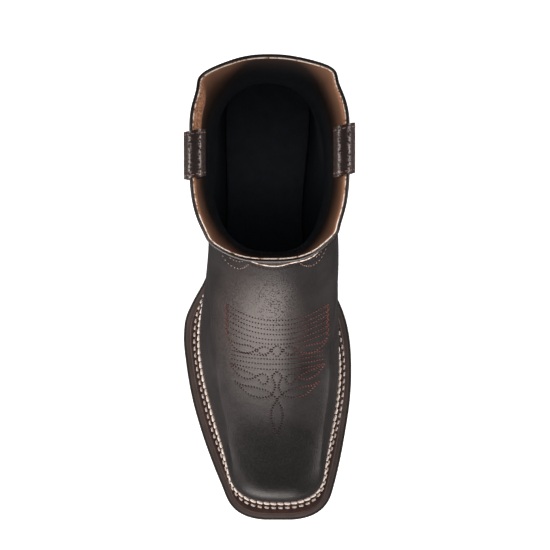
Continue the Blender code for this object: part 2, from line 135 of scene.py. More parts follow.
VAMP_LINE = (
    # around from toe to heel, level on the lateral side, level on the medial side
    (0.00, 10.12, 10.12),
    (0.06, 10.10, 10.12),
    (0.10, 10.02, 9.88),
    (0.15, 9.65, 9.40),
    (0.20, 9.18, 8.95),
    (0.25, 8.72, 8.65),
    (0.30, 8.30, 8.35),
    (0.36, 7.75, 7.75),
    (0.42, 7.15, 7.15),
    (0.50, 6.20, 6.20),
    (0.58, 5.40, 5.40),
    (0.69, 4.80, 4.80),
    (0.82, 5.40, 5.40),
    (0.92, 6.60, 6.60),
    (1.00, 7.30, 7.30),
)

# Outsole, welt and heel
OUTSOLE_OUTLINE = (
    # station, lateral edge, medial edge
    (0.0, -22.5, 37.0),
    (20.0, -29.4, 43.6),
    (34.0, -35.2, 47.2),
    (58.0, -43.9, 51.9),
    (82.0, -50.6, 55.3),
    (104.0, -54.4, 56.0),
    (123.0, -56.0, 54.6),
    (135.0, -54.6, 51.9),
    (147.0, -49.2, 47.2),
    (159.0, -42.5, 40.5),
    (174.0, -36.5, 34.0),
    (196.0, -33.3, 29.5),
    (222.0, -33.0, 30.0),
    (250.0, -34.0, 33.4),
    (276.0, -34.2, 34.2),
    (304.0, -34.2, 34.2),
)
# Length and power of the rounded ends, and how near to them a slab's ring starts
TOE_ROUND = (20.0, 3.0)
HEEL_ROUND = (34.0, 2.1)
END_AROUND = 0.012
# Places along one side of a slab, and the angle in degrees past which an edge stays crisp
OUTSOLE_PLACES = 181
WELT_PLACES = 150
INSOLE_PLACES = 120
HEEL_PLACES = 60
EDGE_ANGLE = 50.0
OUTSOLE_PROFILE = (
    # inset from the edge, face that the height is taken from, height over it
    (7.0, "top", 0.0),
    (1.5, "top", 0.0),
    (0.4, "top", -0.12),
    (0.12, "top", -0.4),
    (0.0, "top", -0.9),
    (0.0, "top", -1.9),
    (0.35, "top", -2.1),
    (0.35, "top", -2.3),
    (0.0, "top", -2.5),
    (0.0, "bottom", 0.9),
    (0.12, "bottom", 0.4),
    (0.4, "bottom", 0.12),
    (0.9, "bottom", 0.0),
    (5.0, "bottom", 0.0),
    (5.3, "bottom", 0.5),
    (6.1, "bottom", 0.5),
    (6.4, "bottom", 0.0),
)
# Faces from rows set in less than this from the edge take the near-black painted shade
OUTSOLE_EDGE = 0.95
WELT_THICKNESS = 4.0
WELT_LIP = 4.0
WELT_END = 0.52
# Where the welt's edge begins to lie square beside the upper, over what length, and how it ends
WELT_BESIDE = (0.15, 0.15, 0.08)
WELT_PROFILE = (
    # distance out from the upper, or in from the welt's edge where negative, and height over the outsole
    (0.0, 4.0),
    (0.5, 3.95),
    (0.75, 3.8),
    (1.25, 3.6),
    (1.8, 3.8),
    (2.9, 3.75),
    (3.4, 3.6),
    (3.85, 3.4),
    (4.4, 3.6),
    (-0.9, 3.4),
    (-0.35, 3.2),
    (-0.08, 2.85),
    (-0.001, 2.4),
    (-0.001, 0.0),
)
WELT_ROW_OUT = 4.1
WELT_ROW_EDGE = 0.7
WELT_ROWS = (
    # name, distance out from the upper, height over the outsole, share of thread, pitch, stitch, turn
    ("welt_inner_stitches", 1.2, 3.75, 1.0, 4.6, 4.7, 9.0),
    ("welt_outer_stitches", 4.0, 3.5, 0.76, 4.65, 3.3, 6.0),
)
HEEL_CAP_HEIGHT = 7.0
HEEL_BACK_SLOPE = 5.0
HEEL_SIDE_SLOPE = 2.0
HEEL_HALF = 33.0
HEEL_LIFTS = 5
# Half height, depth and rounding of the joint between two lifts
HEEL_JOINT = (0.03, 0.35, 0.4)
# Height and inset
HEEL_CAP_PROFILE = ((0.0, 1.0), (0.3, 0.35), (1.0, 0.0), (6.2, 0.0), (6.7, 0.4))
# Inset and height
INSOLE_PROFILE = ((0.0, 0.0), (0.0, 2.3), (0.3, 2.8), (1.0, 3.0), (6.0, 2.9), (11.0, 2.5))

# Upper; a patch is its middle and its reach
# Painted highlight: the instep is lightened within this patch
PAINTED_HIGHLIGHT_PATCH = ((-6.0, -24.0, 78.0), (34.0, 60.0, 75.0))
# Painted shade: the toe box is darkened within this patch
TOE_BOX_SHADE_PATCH = ((6.0, -112.0, 42.0), (40.0, 34.0, 45.0))
# Pores show within this patch, their pits darkened as painted shade
PORE_PATCH = ((6.0, 0.0, 105.0), (18.0, 32.0, 60.0))
FRONT_SHARE = 0.24
FRONT_COLUMNS = 80
REST_COLUMNS = 84
VAMP_RINGS = 40
SEWN_FROM = 0.56
SEWN_RINGS = 105
SHAFT_RINGS = 36
INNER_RINGS = 24
OUTER_RINGS = (
    # panel, first and last share of the way up it, number of rings, depth in from the wall's face
    ("vamp", 0.0, SEWN_FROM - SEWN_FROM / VAMP_RINGS, VAMP_RINGS, 0.0),
    ("vamp", SEWN_FROM, 0.988, SEWN_RINGS, 0.0),
    ("vamp", 1.0, 1.0, 1, 0.15),
    ("shaft", 0.007, 0.007, 1, SHAFT_RECESS),
    ("shaft", 0.02, 0.985, SHAFT_RINGS, SHAFT_RECESS),
    ("shaft", 1.0, 1.0, 1, SHAFT_RECESS),
    ("band", 0.05, 0.05, 1, 0.1),
    ("band", 0.12, 0.12, 1, 0.0),
    ("band", 0.3, 0.7, 3, 0.0),
    ("band", 0.82, 0.82, 1, 0.0),
)
LINING_RINGS = (
    ("band", 0.8, 0.2, 4, WALL),
    ("shaft", 1.0, 0.02, INNER_RINGS, WALL),
    ("vamp", 1.0, 0.0, INNER_RINGS, WALL),
)
# Piping on the side seams: half width, columns and clear space beside it and width of its faces as shares
# of that, then drop below the rim and length of its upper end
PIPING_HALF = 0.011
PIPING_COLUMNS = (0.0, 0.25, 0.5, 0.72, 0.88, 1.0, 1.25)
PIPING_CLEAR = 1.6
PIPING_FACES = 1.02
PIPING_END = (38.0, 4.0)
BAND_HEIGHT = 13.0
COLLAR_SHARE = 0.9
COLLAR_ROLL = (
    # depth in from the wall's face and drop below the rim
    (0.0, 1.25),
    (0.04, 1.0),
    (0.12, 0.8),
    (0.62, 0.24),
    (0.78, 0.1),
    (1.05, 0.02),
    (1.6, 0.02),
    (1.9, 0.2),
    (2.05, 0.7),
)
COLLAR_INSIDE = ((2.3, 0.95), (2.8, 0.8), (3.0, 1.2))
# Heights where the lining's painted shade toward the foot is deepest and where it is lightest
LINING_DARK = 170.0
LINING_LIGHT = 290.0
# Painted shade at the lining's middle in front and behind: middle, start and end of its fade to each side,
# and how much it takes off
LINING_MIDDLE_SHADE = (5.0, 12.0, 36.0, 0.46)
# Loose lining: its middle and reach along the boot and its fullness, then the drop where it is fullest,
# its spread there, and the drop and length of its start
LINING_LOOSE = (105.0, 28.0, 1.7)
LINING_SAG = (11.0, 8.0, 1.3, 4.0)
# Cut edges: depth in from the wall, then drop and share of the thickness, or lift
COLLAR_EDGE = (2.5, 0.32, 0.95)
VAMP_EDGE = (0.3, 0.35)
EDGE_PATCH = ((2.0, 80.0, 250.0), (56.0, 900.0, 900.0))
VAMP_ROW_SHARE = 0.978
SEWN_DEPTH = 0.09
SEWN_WIDTH = 0.75
SEWN_REACH = 3.0
SEWN_PITCH = 0.4
# Bow of a fold along its length, and height, place and width of the ridge above it
CREASE_BOW = 0.048
CREASE_RIDGE = (0.45, 2.1, 1.3)
CREASES = (
    # side (0 for both), station, height, turn in degrees, half length, width, share of the fold depth
    (0, 176.0, 122.0, -28.0, 34.0, 5.0, 0.25),
    (1, 206.0, 98.0, -18.0, 36.0, 5.5, 1.0),
    (-1, 204.0, 102.0, -14.0, 34.0, 5.0, 1.0),
    (1, 222.0, 122.0, 8.0, 40.0, 6.5, 0.9),
    (-1, 226.0, 126.0, 4.0, 40.0, 6.0, 0.9),
    (0, 284.0, 132.0, 10.0, 30.0, 5.0, 0.8),
    (0, 282.0, 156.0, -6.0, 26.0, 5.0, 0.6),
    (1, 232.0, 168.0, 14.0, 34.0, 8.0, 0.6),
    (-1, 236.0, 174.0, -10.0, 34.0, 8.0, 0.6),
)

# Pull straps
STRAPS = (
    # piece, solid, side, middle station, width, how far its inner end lies behind its outer end
    ("pull_strap_outer", "pull_strap_lateral", -1.0, 237.0, 28.7, 2.0),
    ("pull_strap_inner", "pull_strap_medial", 1.0, 239.5, 30.5, -3.0),
)
STRAP_COLUMNS = 15
STRAP_FINENESS = 4
# Window and fall of the smoothing of the straps' painted highlight along their bends
STRAP_HIGHLIGHT_SPREAD = (3, 1.4)
STRAP_ROUNDING = 0.6
STRAP_ANGLE = 60.0
STRAP_LEG = 34.0
# Share of the leg below the collar, distance out from the wall's face
STRAP_OUTER_LEG = ((1.0, 0.4), (0.72, 0.4), (0.46, 1.3), (0.3, 1.3), (0.1, 1.4))
STRAP_FOLD = (
    # distance out from the wall's face, height above the collar
    (1.9, 2.0),
    (2.15, 4.2),
    (1.75, 6.4),
    (0.75, 8.2),
    (0.05, 9.25),
    (-0.6, 9.95),
    (-1.4, 10.2),
    (-6.0, 10.2),
    (-6.8, 9.95),
    (-7.4, 9.25),
    (-8.0, 8.2),
    (-8.7, 6.4),
    (-9.1, 4.2),
    (-9.0, 2.6),
    (-8.2, 0.2),
    (-6.4, -4.0),
)
STRAP_INNER_LEG = ((0.3, -4.3), (0.5, -4.3), (0.75, -4.3), (1.0, -4.3))

# Stitches
STITCH_RINGS = (
    # place along the stitch, swell, lift
    (-1.0, 0.45, -0.25),
    (-0.62, 0.95, 0.12),
    (0.0, 1.0, 0.28),
    (0.62, 0.95, 0.12),
    (1.0, 0.45, -0.25),
)
STITCH_SIDES = 6
STITCH_FLATNESS = 0.8
STITCH_SUNK = 0.5
RUN_FINENESS = 14
RUN_JUMP = 6.0
# Share of thread, pitch, length, turn in degrees
TOE_ROW_STITCH = (1.05, 2.0, 0.95, 0.0)
TOE_LEAF_STITCH = (0.9, 1.95, 1.75, 66.0)
LOOP_STITCH = (0.78, 2.9, 1.2, 0.0)
STRAP_STITCH = (0.72, 3.2, 2.2, 0.0)
VAMP_ROW_STITCH = (0.66, 2.4, 1.7, 0.0)

# Middle of the thread's painted shade across the boot, where the shade begins to fade and where it is gone
TOE_THREAD_SHADE = (-2.0, 16.5, 30.0)

# Charts of the sewn lines, as pixels of the photograph
CHART_MIDDLE = 277.0
TOE_ROWS = (
    # half width, row at the middle, row at the ends, half of the gap at the middle
    (50.0, 320.8, 304.3, 0.0),
    (50.0, 325.3, 310.4, 0.0),
    (50.0, 330.0, 314.4, 0.0),
    (50.0, 334.8, 319.7, 0.0),
    (50.0, 340.0, 325.6, 0.0),
    (50.0, 344.4, 331.5, 0.0),
    (46.5, 356.0, 350.0, 9.0),
    (46.5, 359.4, 354.3, 0.0),
    (46.5, 364.3, 358.6, 0.0),
    (46.5, 369.6, 363.0, 0.0),
)
TOE_ROW_POINTS = 21
TOE_ROW_BOW = 2.2
# Zigzag at the row ends: first row, end, pitch, column, half width
TOE_LADDER = (304.0, 337.0, 2.6, 226.5, 1.6)
TOE_LEAVES = (
    ((226.5, 337.0), (231.0, 341.5), (240.0, 344.2), (250.0, 346.0), (256.4, 350.4)),
    ((226.5, 337.0), (230.0, 343.5), (236.4, 349.5), (243.0, 352.8), (250.5, 352.6), (256.4, 350.4)),
    ((256.4, 350.4), (260.4, 347.6), (265.0, 346.8), (268.5, 348.0), (271.2, 350.6)),
    ((256.4, 350.4), (260.0, 354.0), (264.5, 354.6), (268.3, 353.2), (271.2, 350.6)),
    ((271.2, 350.6), (274.0, 347.2), (277.0, 345.6)),
    ((271.2, 350.6), (274.0, 354.8), (277.0, 357.2)),
    ((229.2, 363.2), (238.0, 368.0), (249.2, 372.8), (256.4, 376.8)),
    ((229.2, 363.2), (231.6, 367.2), (239.6, 376.0), (249.2, 379.2), (256.4, 376.8)),
    (
        (256.4, 376.8), (260.0, 374.3), (264.0, 374.0), (268.2, 377.5),
        (267.5, 381.5), (264.4, 384.8), (260.5, 382.6), (258.0, 379.0),
    ),
    (
        (277.2, 371.2), (273.8, 374.2), (271.6, 377.0), (274.0, 381.0),
        (275.2, 386.0), (274.0, 391.0), (270.5, 395.5),
    ),
    ((234.0, 380.5), (241.2, 384.8), (254.0, 387.2), (265.2, 390.4), (272.4, 394.4), (277.2, 400.0)),
    ((234.0, 380.5), (239.6, 386.4), (247.6, 393.6), (258.8, 397.6), (268.4, 396.8), (272.4, 394.4)),
    ((277.2, 400.0), (272.3, 408.0), (271.2, 414.0), (272.0, 422.0), (274.3, 429.5), (277.3, 435.5)),
)
VAMP_LOOPS = (
    (
        (222.0, 254.0), (224.5, 258.5), (227.0, 262.0), (231.0, 265.5),
        (236.0, 268.0), (240.5, 268.7), (245.0, 267.0), (249.0, 264.0),
    ),
    ((229.0, 257.0), (233.0, 259.5), (238.5, 261.5), (243.5, 261.3)),
    (
        (327.5, 243.0), (326.0, 248.0), (323.0, 254.5), (319.0, 260.5), (313.0, 265.0),
        (308.0, 266.0), (302.5, 265.0), (299.5, 262.0), (300.0, 259.5),
    ),
    ((324.5, 243.5), (322.5, 249.0), (319.0, 254.5), (314.0, 258.5), (308.5, 259.8)),
)

# Stage, in metres and watts
FLOOR_SIZE = 30.0
PAPER_GLOW = 0.95
LAMP_TINT = (1.0, 0.925, 0.885)
ROOM_LIGHT = 0.08
SOFTBOXES = (
    # name, place, aim, width and height, power
    ("softbox_lateral", (-1.35, 0.0, 0.75), (0.0, 0.0, 0.3), (1.3, 1.3), 21.0),
    ("softbox_medial", (1.35, 0.0, 0.75), (0.0, 0.0, 0.3), (1.3, 1.3), 20.0),
    ("softbox_toe", (-0.35, -1.35, 0.58), (-0.35, 0.0, 0.58), (1.2, 1.0), 19.8),
    ("bounce_card", (-0.05, -0.85, 0.02), (-0.05, -0.85, 1.0), (0.5, 1.1), 8.5),
)
SHAFT_LIGHTS = ((0.002, 0.083, 0.095), (0.002, 0.083, 0.19))
SHAFT_POWER = 0.019
SHAFT_SOFTNESS = 0.02

# Settings that several shader nodes share
COLOUR_MIX = {"data_type": "RGBA"}
SOFT_STEP = {"interpolation_type": "SMOOTHSTEP"}
MULTIPLY_ADD = {"operation": "MULTIPLY_ADD"}


def size_of(name):
    """A fine detail's size in millimetres, from the sidebar."""
    return getattr(bpy.context.scene.boot_sizes, name) / MM


def smooth(places, values, at):
    """Read a cubic curve through (places, values) at one or many places, straight beyond its ends."""
    places = np.asarray(places, float)
    at = np.asarray(at, float)
    values = np.broadcast_to(np.asarray(values, float), at.shape + places.shape)
    slopes = np.gradient(values, places, axis=-1)
    low = np.clip(np.searchsorted(places, at) - 1, 0, len(places) - 2)
    step = places[low + 1] - places[low]
    share = np.clip((at - places[low]) / step, 0.0, 1.0)
    beyond = at - np.clip(at, places[0], places[-1])

    def pick(rows, index):
        return np.take_along_axis(rows, index[..., None], -1)[..., 0]

    start, end = pick(values, low), pick(values, low + 1)
    start_slope, end_slope = pick(slopes, low), pick(slopes, low + 1)
    return (
        start * (1 + 2 * share) * (1 - share) ** 2
        + end * share ** 2 * (3 - 2 * share)
        + step * share * (1 - share) * (start_slope * (1 - share) - end_slope * share)
        + beyond * np.where(beyond > 0, end_slope, start_slope)
    )


def ease(share):
    """Slow start and slow end between 0 and 1."""
    share = np.clip(share, 0.0, 1.0)
    return share * share * (3.0 - 2.0 * share)


def rounded_end(distance, length, power):
    """Share of the full width at a distance in from a rounded end."""
    left = 1.0 - np.clip(distance / length, 0.0, 1.0)
    return (1.0 - left ** power) ** (1.0 / power)


def along(around):
    """Share of the way from toe to heel for places spread round an oval."""
    pace = 1.0 / (1.0 - END_SHARE)
    from_end = np.minimum(around, 1.0 - around)
    share = np.where(
        from_end < END_SHARE, pace * from_end ** 2 / (2.0 * END_SHARE), pace * (from_end - END_SHARE / 2.0)
    )
    return np.where(around > 0.5, 1.0 - share, share)


def around_at(share):
    """Place round the oval for a share of the way that lies between its close-set ends."""
    return share * (1.0 - END_SHARE) + END_SHARE / 2.0


def sole_top(station):
    """Height of the outsole's upper face: toe spring, flat tread, arch and heel seat."""
    arch = ease((station - TREAD_BACK) / (HEEL_BREAST - TREAD_BACK))
    spring = TOE_SPRING * np.clip((TREAD_FRONT - station) / TREAD_FRONT, 0.0, None) ** 2
    return spring + HEEL_HEIGHT * arch + SOLE_FOREFOOT + (SOLE_HEEL - SOLE_FOREFOOT) * arch


def upper_point(level, around, side):
    """Point of the upper's outer form at a level, from toe (around 0) to heel (around 1) on one side."""
    level, around, side = np.broadcast_arrays(np.asarray(level, float), around, side)
    rows = np.array(LEVELS)
    numbers = np.arange(len(rows))
    columns = [smooth(numbers, rows[:, k], level) for k in range(rows.shape[1])]
    front, front_up, back, back_up, follow, rise = columns[:6]
    front_x, nose_length, nose_power, back_x, heel_length, heel_power = columns[6:]
    share = along(around)
    station = front + share * (back - front)

    table = np.array(WIDTHS)
    widths = np.stack([smooth(numbers, table[:, k], level) for k in range(table.shape[1])], axis=-1)
    lateral = -smooth(WIDTH_STATIONS[-1], widths[..., :4], station)
    medial = smooth(WIDTH_STATIONS[1], widths[..., 4:], station)
    middle = front_x + share * (back_x - front_x)
    closing = rounded_end(station - front, nose_length, nose_power)
    closing = closing * rounded_end(back - station, heel_length, heel_power)
    x = middle + (np.where(side > 0, medial, lateral) - middle) * closing
    near_top = np.clip(1.0 - (TOP_LEVEL - level) / COLLAR_CORNER_LEVELS, 0.0, 1.0) ** 2
    for corner_side, place, height, spread in COLLAR_CORNERS:
        bulge = height * near_top * np.exp(-(((around - place) / spread) ** 2))
        x = x + np.where(side == corner_side, side * bulge, 0.0)

    toe, heel = LEVELS[0][0], LEVELS[0][2]
    toe_height, heel_height = sole_top(toe) + GAP, sole_top(heel) + GAP
    chord = toe_height + (heel_height - toe_height) * (station - toe) / (heel - toe)
    z = toe_height + front_up + share * (heel_height + back_up - toe_height - front_up)
    z = z + follow * (sole_top(station) + GAP - chord)
    z = z + rise * (1.0 - np.abs(1.0 - 2.0 * share) ** SCALLOP_POWER)
    return np.stack([x, station - LENGTH / 2.0, z], axis=-1)


def vamp_level(around, side):
    """Level of the top edge of vamp and counter."""
    rows = np.array(VAMP_LINE)
    lateral, medial = (smooth(rows[:, 0], rows[:, k], around) for k in (1, 2))
    return np.where(side > 0, medial, lateral)


def panel_place(panel, share, column, side):
    """Level and place at a share of the way up a panel: vamp and counter, shaft, or collar band.

    The columns lean toward the heel at the vamp's top edge, so that the side seam runs straight down.
    """
    lean = 4.0 * SIDE_SEAM_SHIFT * column * (1.0 - column)
    if panel == "vamp":
        place = column + lean * share ** 2
        return vamp_level(place, side) * share ** VAMP_RING_EASE, place
    if panel == "shaft":
        start = vamp_level(column + lean, side)
        return start + (BAND_LEVEL - start) * share, column + lean * (1.0 - share)
    return BAND_LEVEL + (TOP_LEVEL - BAND_LEVEL) * share + 0.0 * column, column + 0.0 * share


def unit(vectors):
    """Vectors of length one."""
    return vectors / np.maximum(np.linalg.norm(vectors, axis=-1, keepdims=True), 1e-9)


def wall(panel, share, column, side):
    """Points of a panel's face and their outward directions."""
    share, column, side = np.broadcast_arrays(np.asarray(share, float), np.asarray(column, float), side)
    level, place = panel_place(panel, share, column, side)
    point = upper_point(level, place, side)
    nudge, step = 0.004, 0.05
    inside = np.clip(place, nudge, 1.0 - nudge)
    ahead = upper_point(level, inside + nudge, side)
    behind = upper_point(level, inside - nudge, side)
    low = np.clip(level, step, TOP_LEVEL - step)
    up = upper_point(low + step, place, side) - upper_point(low - step, place, side)
    out = np.cross((ahead - behind) * side[..., None], up)
    middle = (place < 2 * nudge) | (place > 1.0 - 2 * nudge)
    out = np.where(middle[..., None], out * np.array([0.0, 1.0, 1.0]), out)
    return point, unit(out)


def deselect():
    """Leave edit mode and select nothing."""
    if bpy.context.object and bpy.context.object.mode != "OBJECT":
        bpy.ops.object.mode_set(mode="OBJECT")
    bpy.ops.object.select_all(action="DESELECT")


def activate(piece):
    """Select one piece alone and make it the active one."""
    deselect()
    piece.select_set(True)
    bpy.context.view_layer.objects.active = piece


def link_object(name, data, place=(0.0, 0.0, 0.0)):
    """New object in the scene, at a place in metres."""
    item = bpy.data.objects.new(name, data)
    item.location = place
    bpy.context.scene.collection.objects.link(item)
    return item


def link_mesh(name, points, faces, materials, face_materials=None):
    """Smooth-shaded mesh piece from points in millimetres."""
    mesh = bpy.data.meshes.new(name)
    mesh.from_pydata((np.asarray(points, float).reshape(-1, 3) * MM).tolist(), [], faces)
    for material in materials:
        mesh.materials.append(material)
    if face_materials is not None:
        mesh.polygons.foreach_set("material_index", np.asarray(face_materials, np.int32))
    mesh.shade_smooth()
    return link_object(name, mesh)


def point_outwards(piece, crisp=None):
    """Turn the faces of a closed piece outwards; edges past a crisp angle in degrees stay sharp."""
    activate(piece)
    bpy.ops.object.mode_set(mode="EDIT")
    bpy.ops.mesh.select_all(action="SELECT")
    bpy.ops.mesh.normals_make_consistent(inside=False)
    bpy.ops.object.mode_set(mode="OBJECT")
    if crisp:
        bpy.ops.object.shade_smooth_by_angle(angle=math.radians(crisp))


def grid_faces(rows, count, close_rows=False, close_count=False):
    """Quads over a grid of points in rows."""
    faces = []
    for row in range(rows if close_rows else rows - 1):
        below, above = row * count, ((row + 1) % rows) * count
        for k in range(count if close_count else count - 1):
            nxt = (k + 1) % count
            faces.append((below + k, below + nxt, above + nxt, above + k))
    return faces


def tidy(piece, replaced=None):
    """Ride a piece on the boot, and hide the solid that it stands for."""
    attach(piece, "root")
    if replaced:
        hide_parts(replaced)
    return piece


def vertex_rows(mesh, name):
    """Places (co) or normals of a mesh's vertices, as rows."""
    rows = np.empty(len(mesh.vertices) * 3)
    mesh.vertices.foreach_get(name, rows)
    return rows.reshape(-1, 3)


def level_out(vectors):
    """Directions laid flat."""
    return unit(vectors * np.array([1.0, 1.0, 0.0]))


def smooth_run(points, fineness):
    """Smooth curves through rows of points, read at a number of places to each row."""
    numbers = np.arange(len(points))
    fine = np.linspace(0.0, len(points) - 1.0, fineness * len(points))
    curves = [smooth(numbers, values, fine) for values in points.reshape(len(points), -1).T]
    return np.stack(curves, axis=-1).reshape(len(fine), *points.shape[1:])


def boot_columns():
    """Columns round the boot from the toe, medial side first, set closer in front and at the side seams."""
    front = np.linspace(0.0, FRONT_SHARE, FRONT_COLUMNS + 1)
    half = np.concatenate([front, np.linspace(FRONT_SHARE, 1.0, REST_COLUMNS + 1)[1:]])
    beside = np.array(PIPING_COLUMNS) * PIPING_HALF
    half = half[np.abs(half - 0.5) > PIPING_CLEAR * PIPING_HALF]
    half = np.unique(np.concatenate([half, 0.5 + beside, 0.5 - beside]))
    column = np.concatenate([half, half[-2:0:-1]])
    side = np.concatenate([np.ones(len(half)), -np.ones(len(half) - 2)])
    return column, side


def crease_depth(point, side):
    """Depth of the soft folds at points of the wall: troughs, each with a low ridge above it."""
    station = point[..., 1] + LENGTH / 2.0
    ridge, ridge_off, ridge_width = CREASE_RIDGE
    depth = np.zeros(station.shape)
    for fold_side, middle, height, turn, reach, width, deep in CREASES:
        turned = math.radians(turn)
        off_y, off_z = station - middle, point[..., 2] - height
        along_fold = off_y * math.cos(turned) + off_z * math.sin(turned)
        across = off_z * math.cos(turned) - off_y * math.sin(turned) + CREASE_BOW * along_fold ** 2 / reach
        across = across / width
        fall = np.clip(1.0 - (along_fold / reach) ** 2, 0.0, 1.0) ** 2
        trough = np.exp(-(across ** 2)) - ridge * np.exp(-(((across - ridge_off) / ridge_width) ** 2))
        here = (side == fold_side) | (fold_side == 0)
        depth = depth + np.where(here, size_of("fold_depth") * deep * fall * trough, 0.0)
    return depth


def lining_slack(point, side, drop):
    """How far the loose lining stands in from the lateral wall near the back, at a drop below the rim."""
    middle, reach, fullness = LINING_LOOSE
    fullest, spread, start, growth = LINING_SAG
    over = np.clip(1.0 - np.abs(point[..., 1] - middle) / reach, 0.0, 1.0)
    down = np.exp(-(((drop - fullest) / spread) ** 2)) * ease((drop - start) / growth)
    return np.where(side < 0, size_of("lining_slack") * ease(over * fullness) * down, 0.0)


def panel_rings(table):
    """Panel, share and depth of each ring in a table of rings."""
    rings = []
    for panel, first, last, count, depth in table:
        rings += [(panel, share, depth) for share in np.linspace(first, last, count)]
    return rings


def collar_rings(profile):
    """Panel, share and depth of the rings of the collar's edge."""
    return [("band", 1.0 - drop / BAND_HEIGHT, depth) for depth, drop in profile]


def make_upper(leather, binding, lining):
    """Upper: vamp and counter, the shaft that goes down behind their edge, collar band and lining.

    The wall is swept from its tables, because a cage of few faces loses the toe's corners and the scallops.
    """
    column, side = boot_columns()
    count = len(column)
    rings = panel_rings(OUTER_RINGS) + collar_rings(COLLAR_ROLL)
    outside = len(rings)
    rings += collar_rings(COLLAR_INSIDE) + panel_rings(LINING_RINGS)
    rim = upper_point(TOP_LEVEL, column, side)[:, 2]
    cord = np.clip(1.0 - ((column - 0.5) / PIPING_HALF) ** 2, 0.0, 1.0) ** 0.5
    piping_drop, piping_fade = PIPING_END
    on_piping = np.abs(column - 0.5) < PIPING_FACES * PIPING_HALF
    on_piping = on_piping & np.roll(on_piping, -1)
    points, kinds = [], []
    for number, (panel, share, depth) in enumerate(rings):
        point, out = wall(panel, share, column, side)
        depth = np.full(count, depth)
        kind = np.zeros(count, int)
        if number < outside:
            if panel != "band":
                depth = depth + crease_depth(point, side)
            else:
                kind[:] = 1
            if panel == "shaft":
                depth = depth - SHAFT_RECESS * cord * ease((rim - piping_drop - point[:, 2]) / piping_fade)
                if share < 1.0:
                    kind[on_piping] = 1
        else:
            if panel != "vamp":
                depth = depth + lining_slack(point, side, rim - point[:, 2])
            if number < len(rings) - 1:
                kind[:] = 2
        if (panel == "vamp" and share == 0.0) or (panel == "band" and share > COLLAR_SHARE):
            out = level_out(out)
        points.append(point - out * depth[:, None])
        kinds.append(kind)
    faces = grid_faces(len(rings), count, close_rows=True, close_count=True)
    piece = link_mesh("upper_leather", points, faces, (leather, binding, lining), np.concatenate(kinds))
    point_outwards(piece)
    return tidy(piece, "upper")


def bead(name, points, radius, material):
    """Round cord along a closed run of points, made from a bevelled curve."""
    curve = bpy.data.curves.new(name, "CURVE")
    curve.dimensions = "3D"
    curve.bevel_depth = radius * MM
    curve.bevel_resolution = 2
    spline = curve.splines.new("POLY")
    spline.points.add(len(points) - 1)
    places = np.column_stack([points * MM, np.ones(len(points))])
    spline.points.foreach_set("co", places.ravel())
    spline.use_cyclic_u = True
    activate(link_object(name, curve))
    bpy.ops.object.convert(target="MESH")
    piece = bpy.context.object
    piece.data.materials.append(material)
    piece.data.shade_smooth()
    return piece


def make_edges(edge):
    """Cream cut edges: the lining's at the collar and the vamp's where it lies on the shaft."""
    column, side = boot_columns()
    radius = size_of("cut_edge") / 2.0
    rim, out = wall("band", 1.0, column, side)
    depth, drop, share = COLLAR_EDGE
    rim = rim - level_out(out) * depth - np.array([0.0, 0.0, drop])
    line, out = wall("vamp", 1.0, column, side)
    depth, lift = VAMP_EDGE
    line = line - out * depth + np.array([0.0, 0.0, lift])
    rim_edge = bead("collar_lining_edge", rim, share * radius, edge)
    vamp_edge = bead("vamp_cut_edge", line, radius, edge)
    return tidy(rim_edge), tidy(vamp_edge)


def sew_in(piece, runs):
    """Press a piece's face in along sewn lines, so that the leather swells between them."""
    lines = np.concatenate([spaced(*run, SEWN_PITCH)[0] for run in runs])
    tree = KDTree(len(lines))
    for number, point in enumerate(lines):
        tree.insert(point, number)
    tree.balance()
    mesh = piece.data
    points, normals = vertex_rows(mesh, "co") / MM, vertex_rows(mesh, "normal")
    reach = SEWN_REACH * SEWN_WIDTH
    near = np.all((points > lines.min(axis=0) - reach) & (points < lines.max(axis=0) + reach), axis=1)
    for number in np.flatnonzero(near):
        far = tree.find(points[number])[2]
        if far < reach:
            points[number] -= normals[number] * SEWN_DEPTH * math.exp(-((far / SEWN_WIDTH) ** 2))
    mesh.vertices.foreach_set("co", (points * MM).ravel())
    mesh.update()


def sole_bottom(station):
    """Height of the outsole's lower face."""
    arch = ease((station - TREAD_BACK) / (HEEL_BREAST - TREAD_BACK))
    return sole_top(station) - SOLE_FOREFOOT - (SOLE_HEEL - SOLE_FOREFOOT) * arch


def outsole_edge(around, side):
    """Points of the outsole's edge in plan."""
    station = LENGTH * along(around)
    rows = np.array(OUTSOLE_OUTLINE)
    lateral, medial = (smooth(rows[:, 0], rows[:, k], station) for k in (1, 2))
    middle = (rows[0, 1] + rows[0, 2]) / 2.0 * (1.0 - station / LENGTH)
    closing = rounded_end(station, *TOE_ROUND) * rounded_end(LENGTH - station, *HEEL_ROUND)
    x = middle + (np.where(side > 0, medial, lateral) - middle) * closing
    return np.stack([x, station - LENGTH / 2.0, np.zeros_like(x)], axis=-1)


def plan_outward(points, closed=False):
    """Directions in plan to the right of a run of points: outward where it goes toe, medial side, heel."""
    if closed:
        tangent = np.roll(points, -1, axis=0) - np.roll(points, 1, axis=0)
    else:
        tangent = np.gradient(points, axis=0)
    return unit(np.stack([tangent[:, 1], -tangent[:, 0], np.zeros(len(points))], axis=-1))


def slab_ring(start, count):
    """Places and sides along the medial side, from a start to the heel, and back along the lateral side."""
    places = np.linspace(start, 1.0 - END_AROUND, count)
    return np.concatenate([places, places[::-1]]), np.repeat([1.0, -1.0], count)


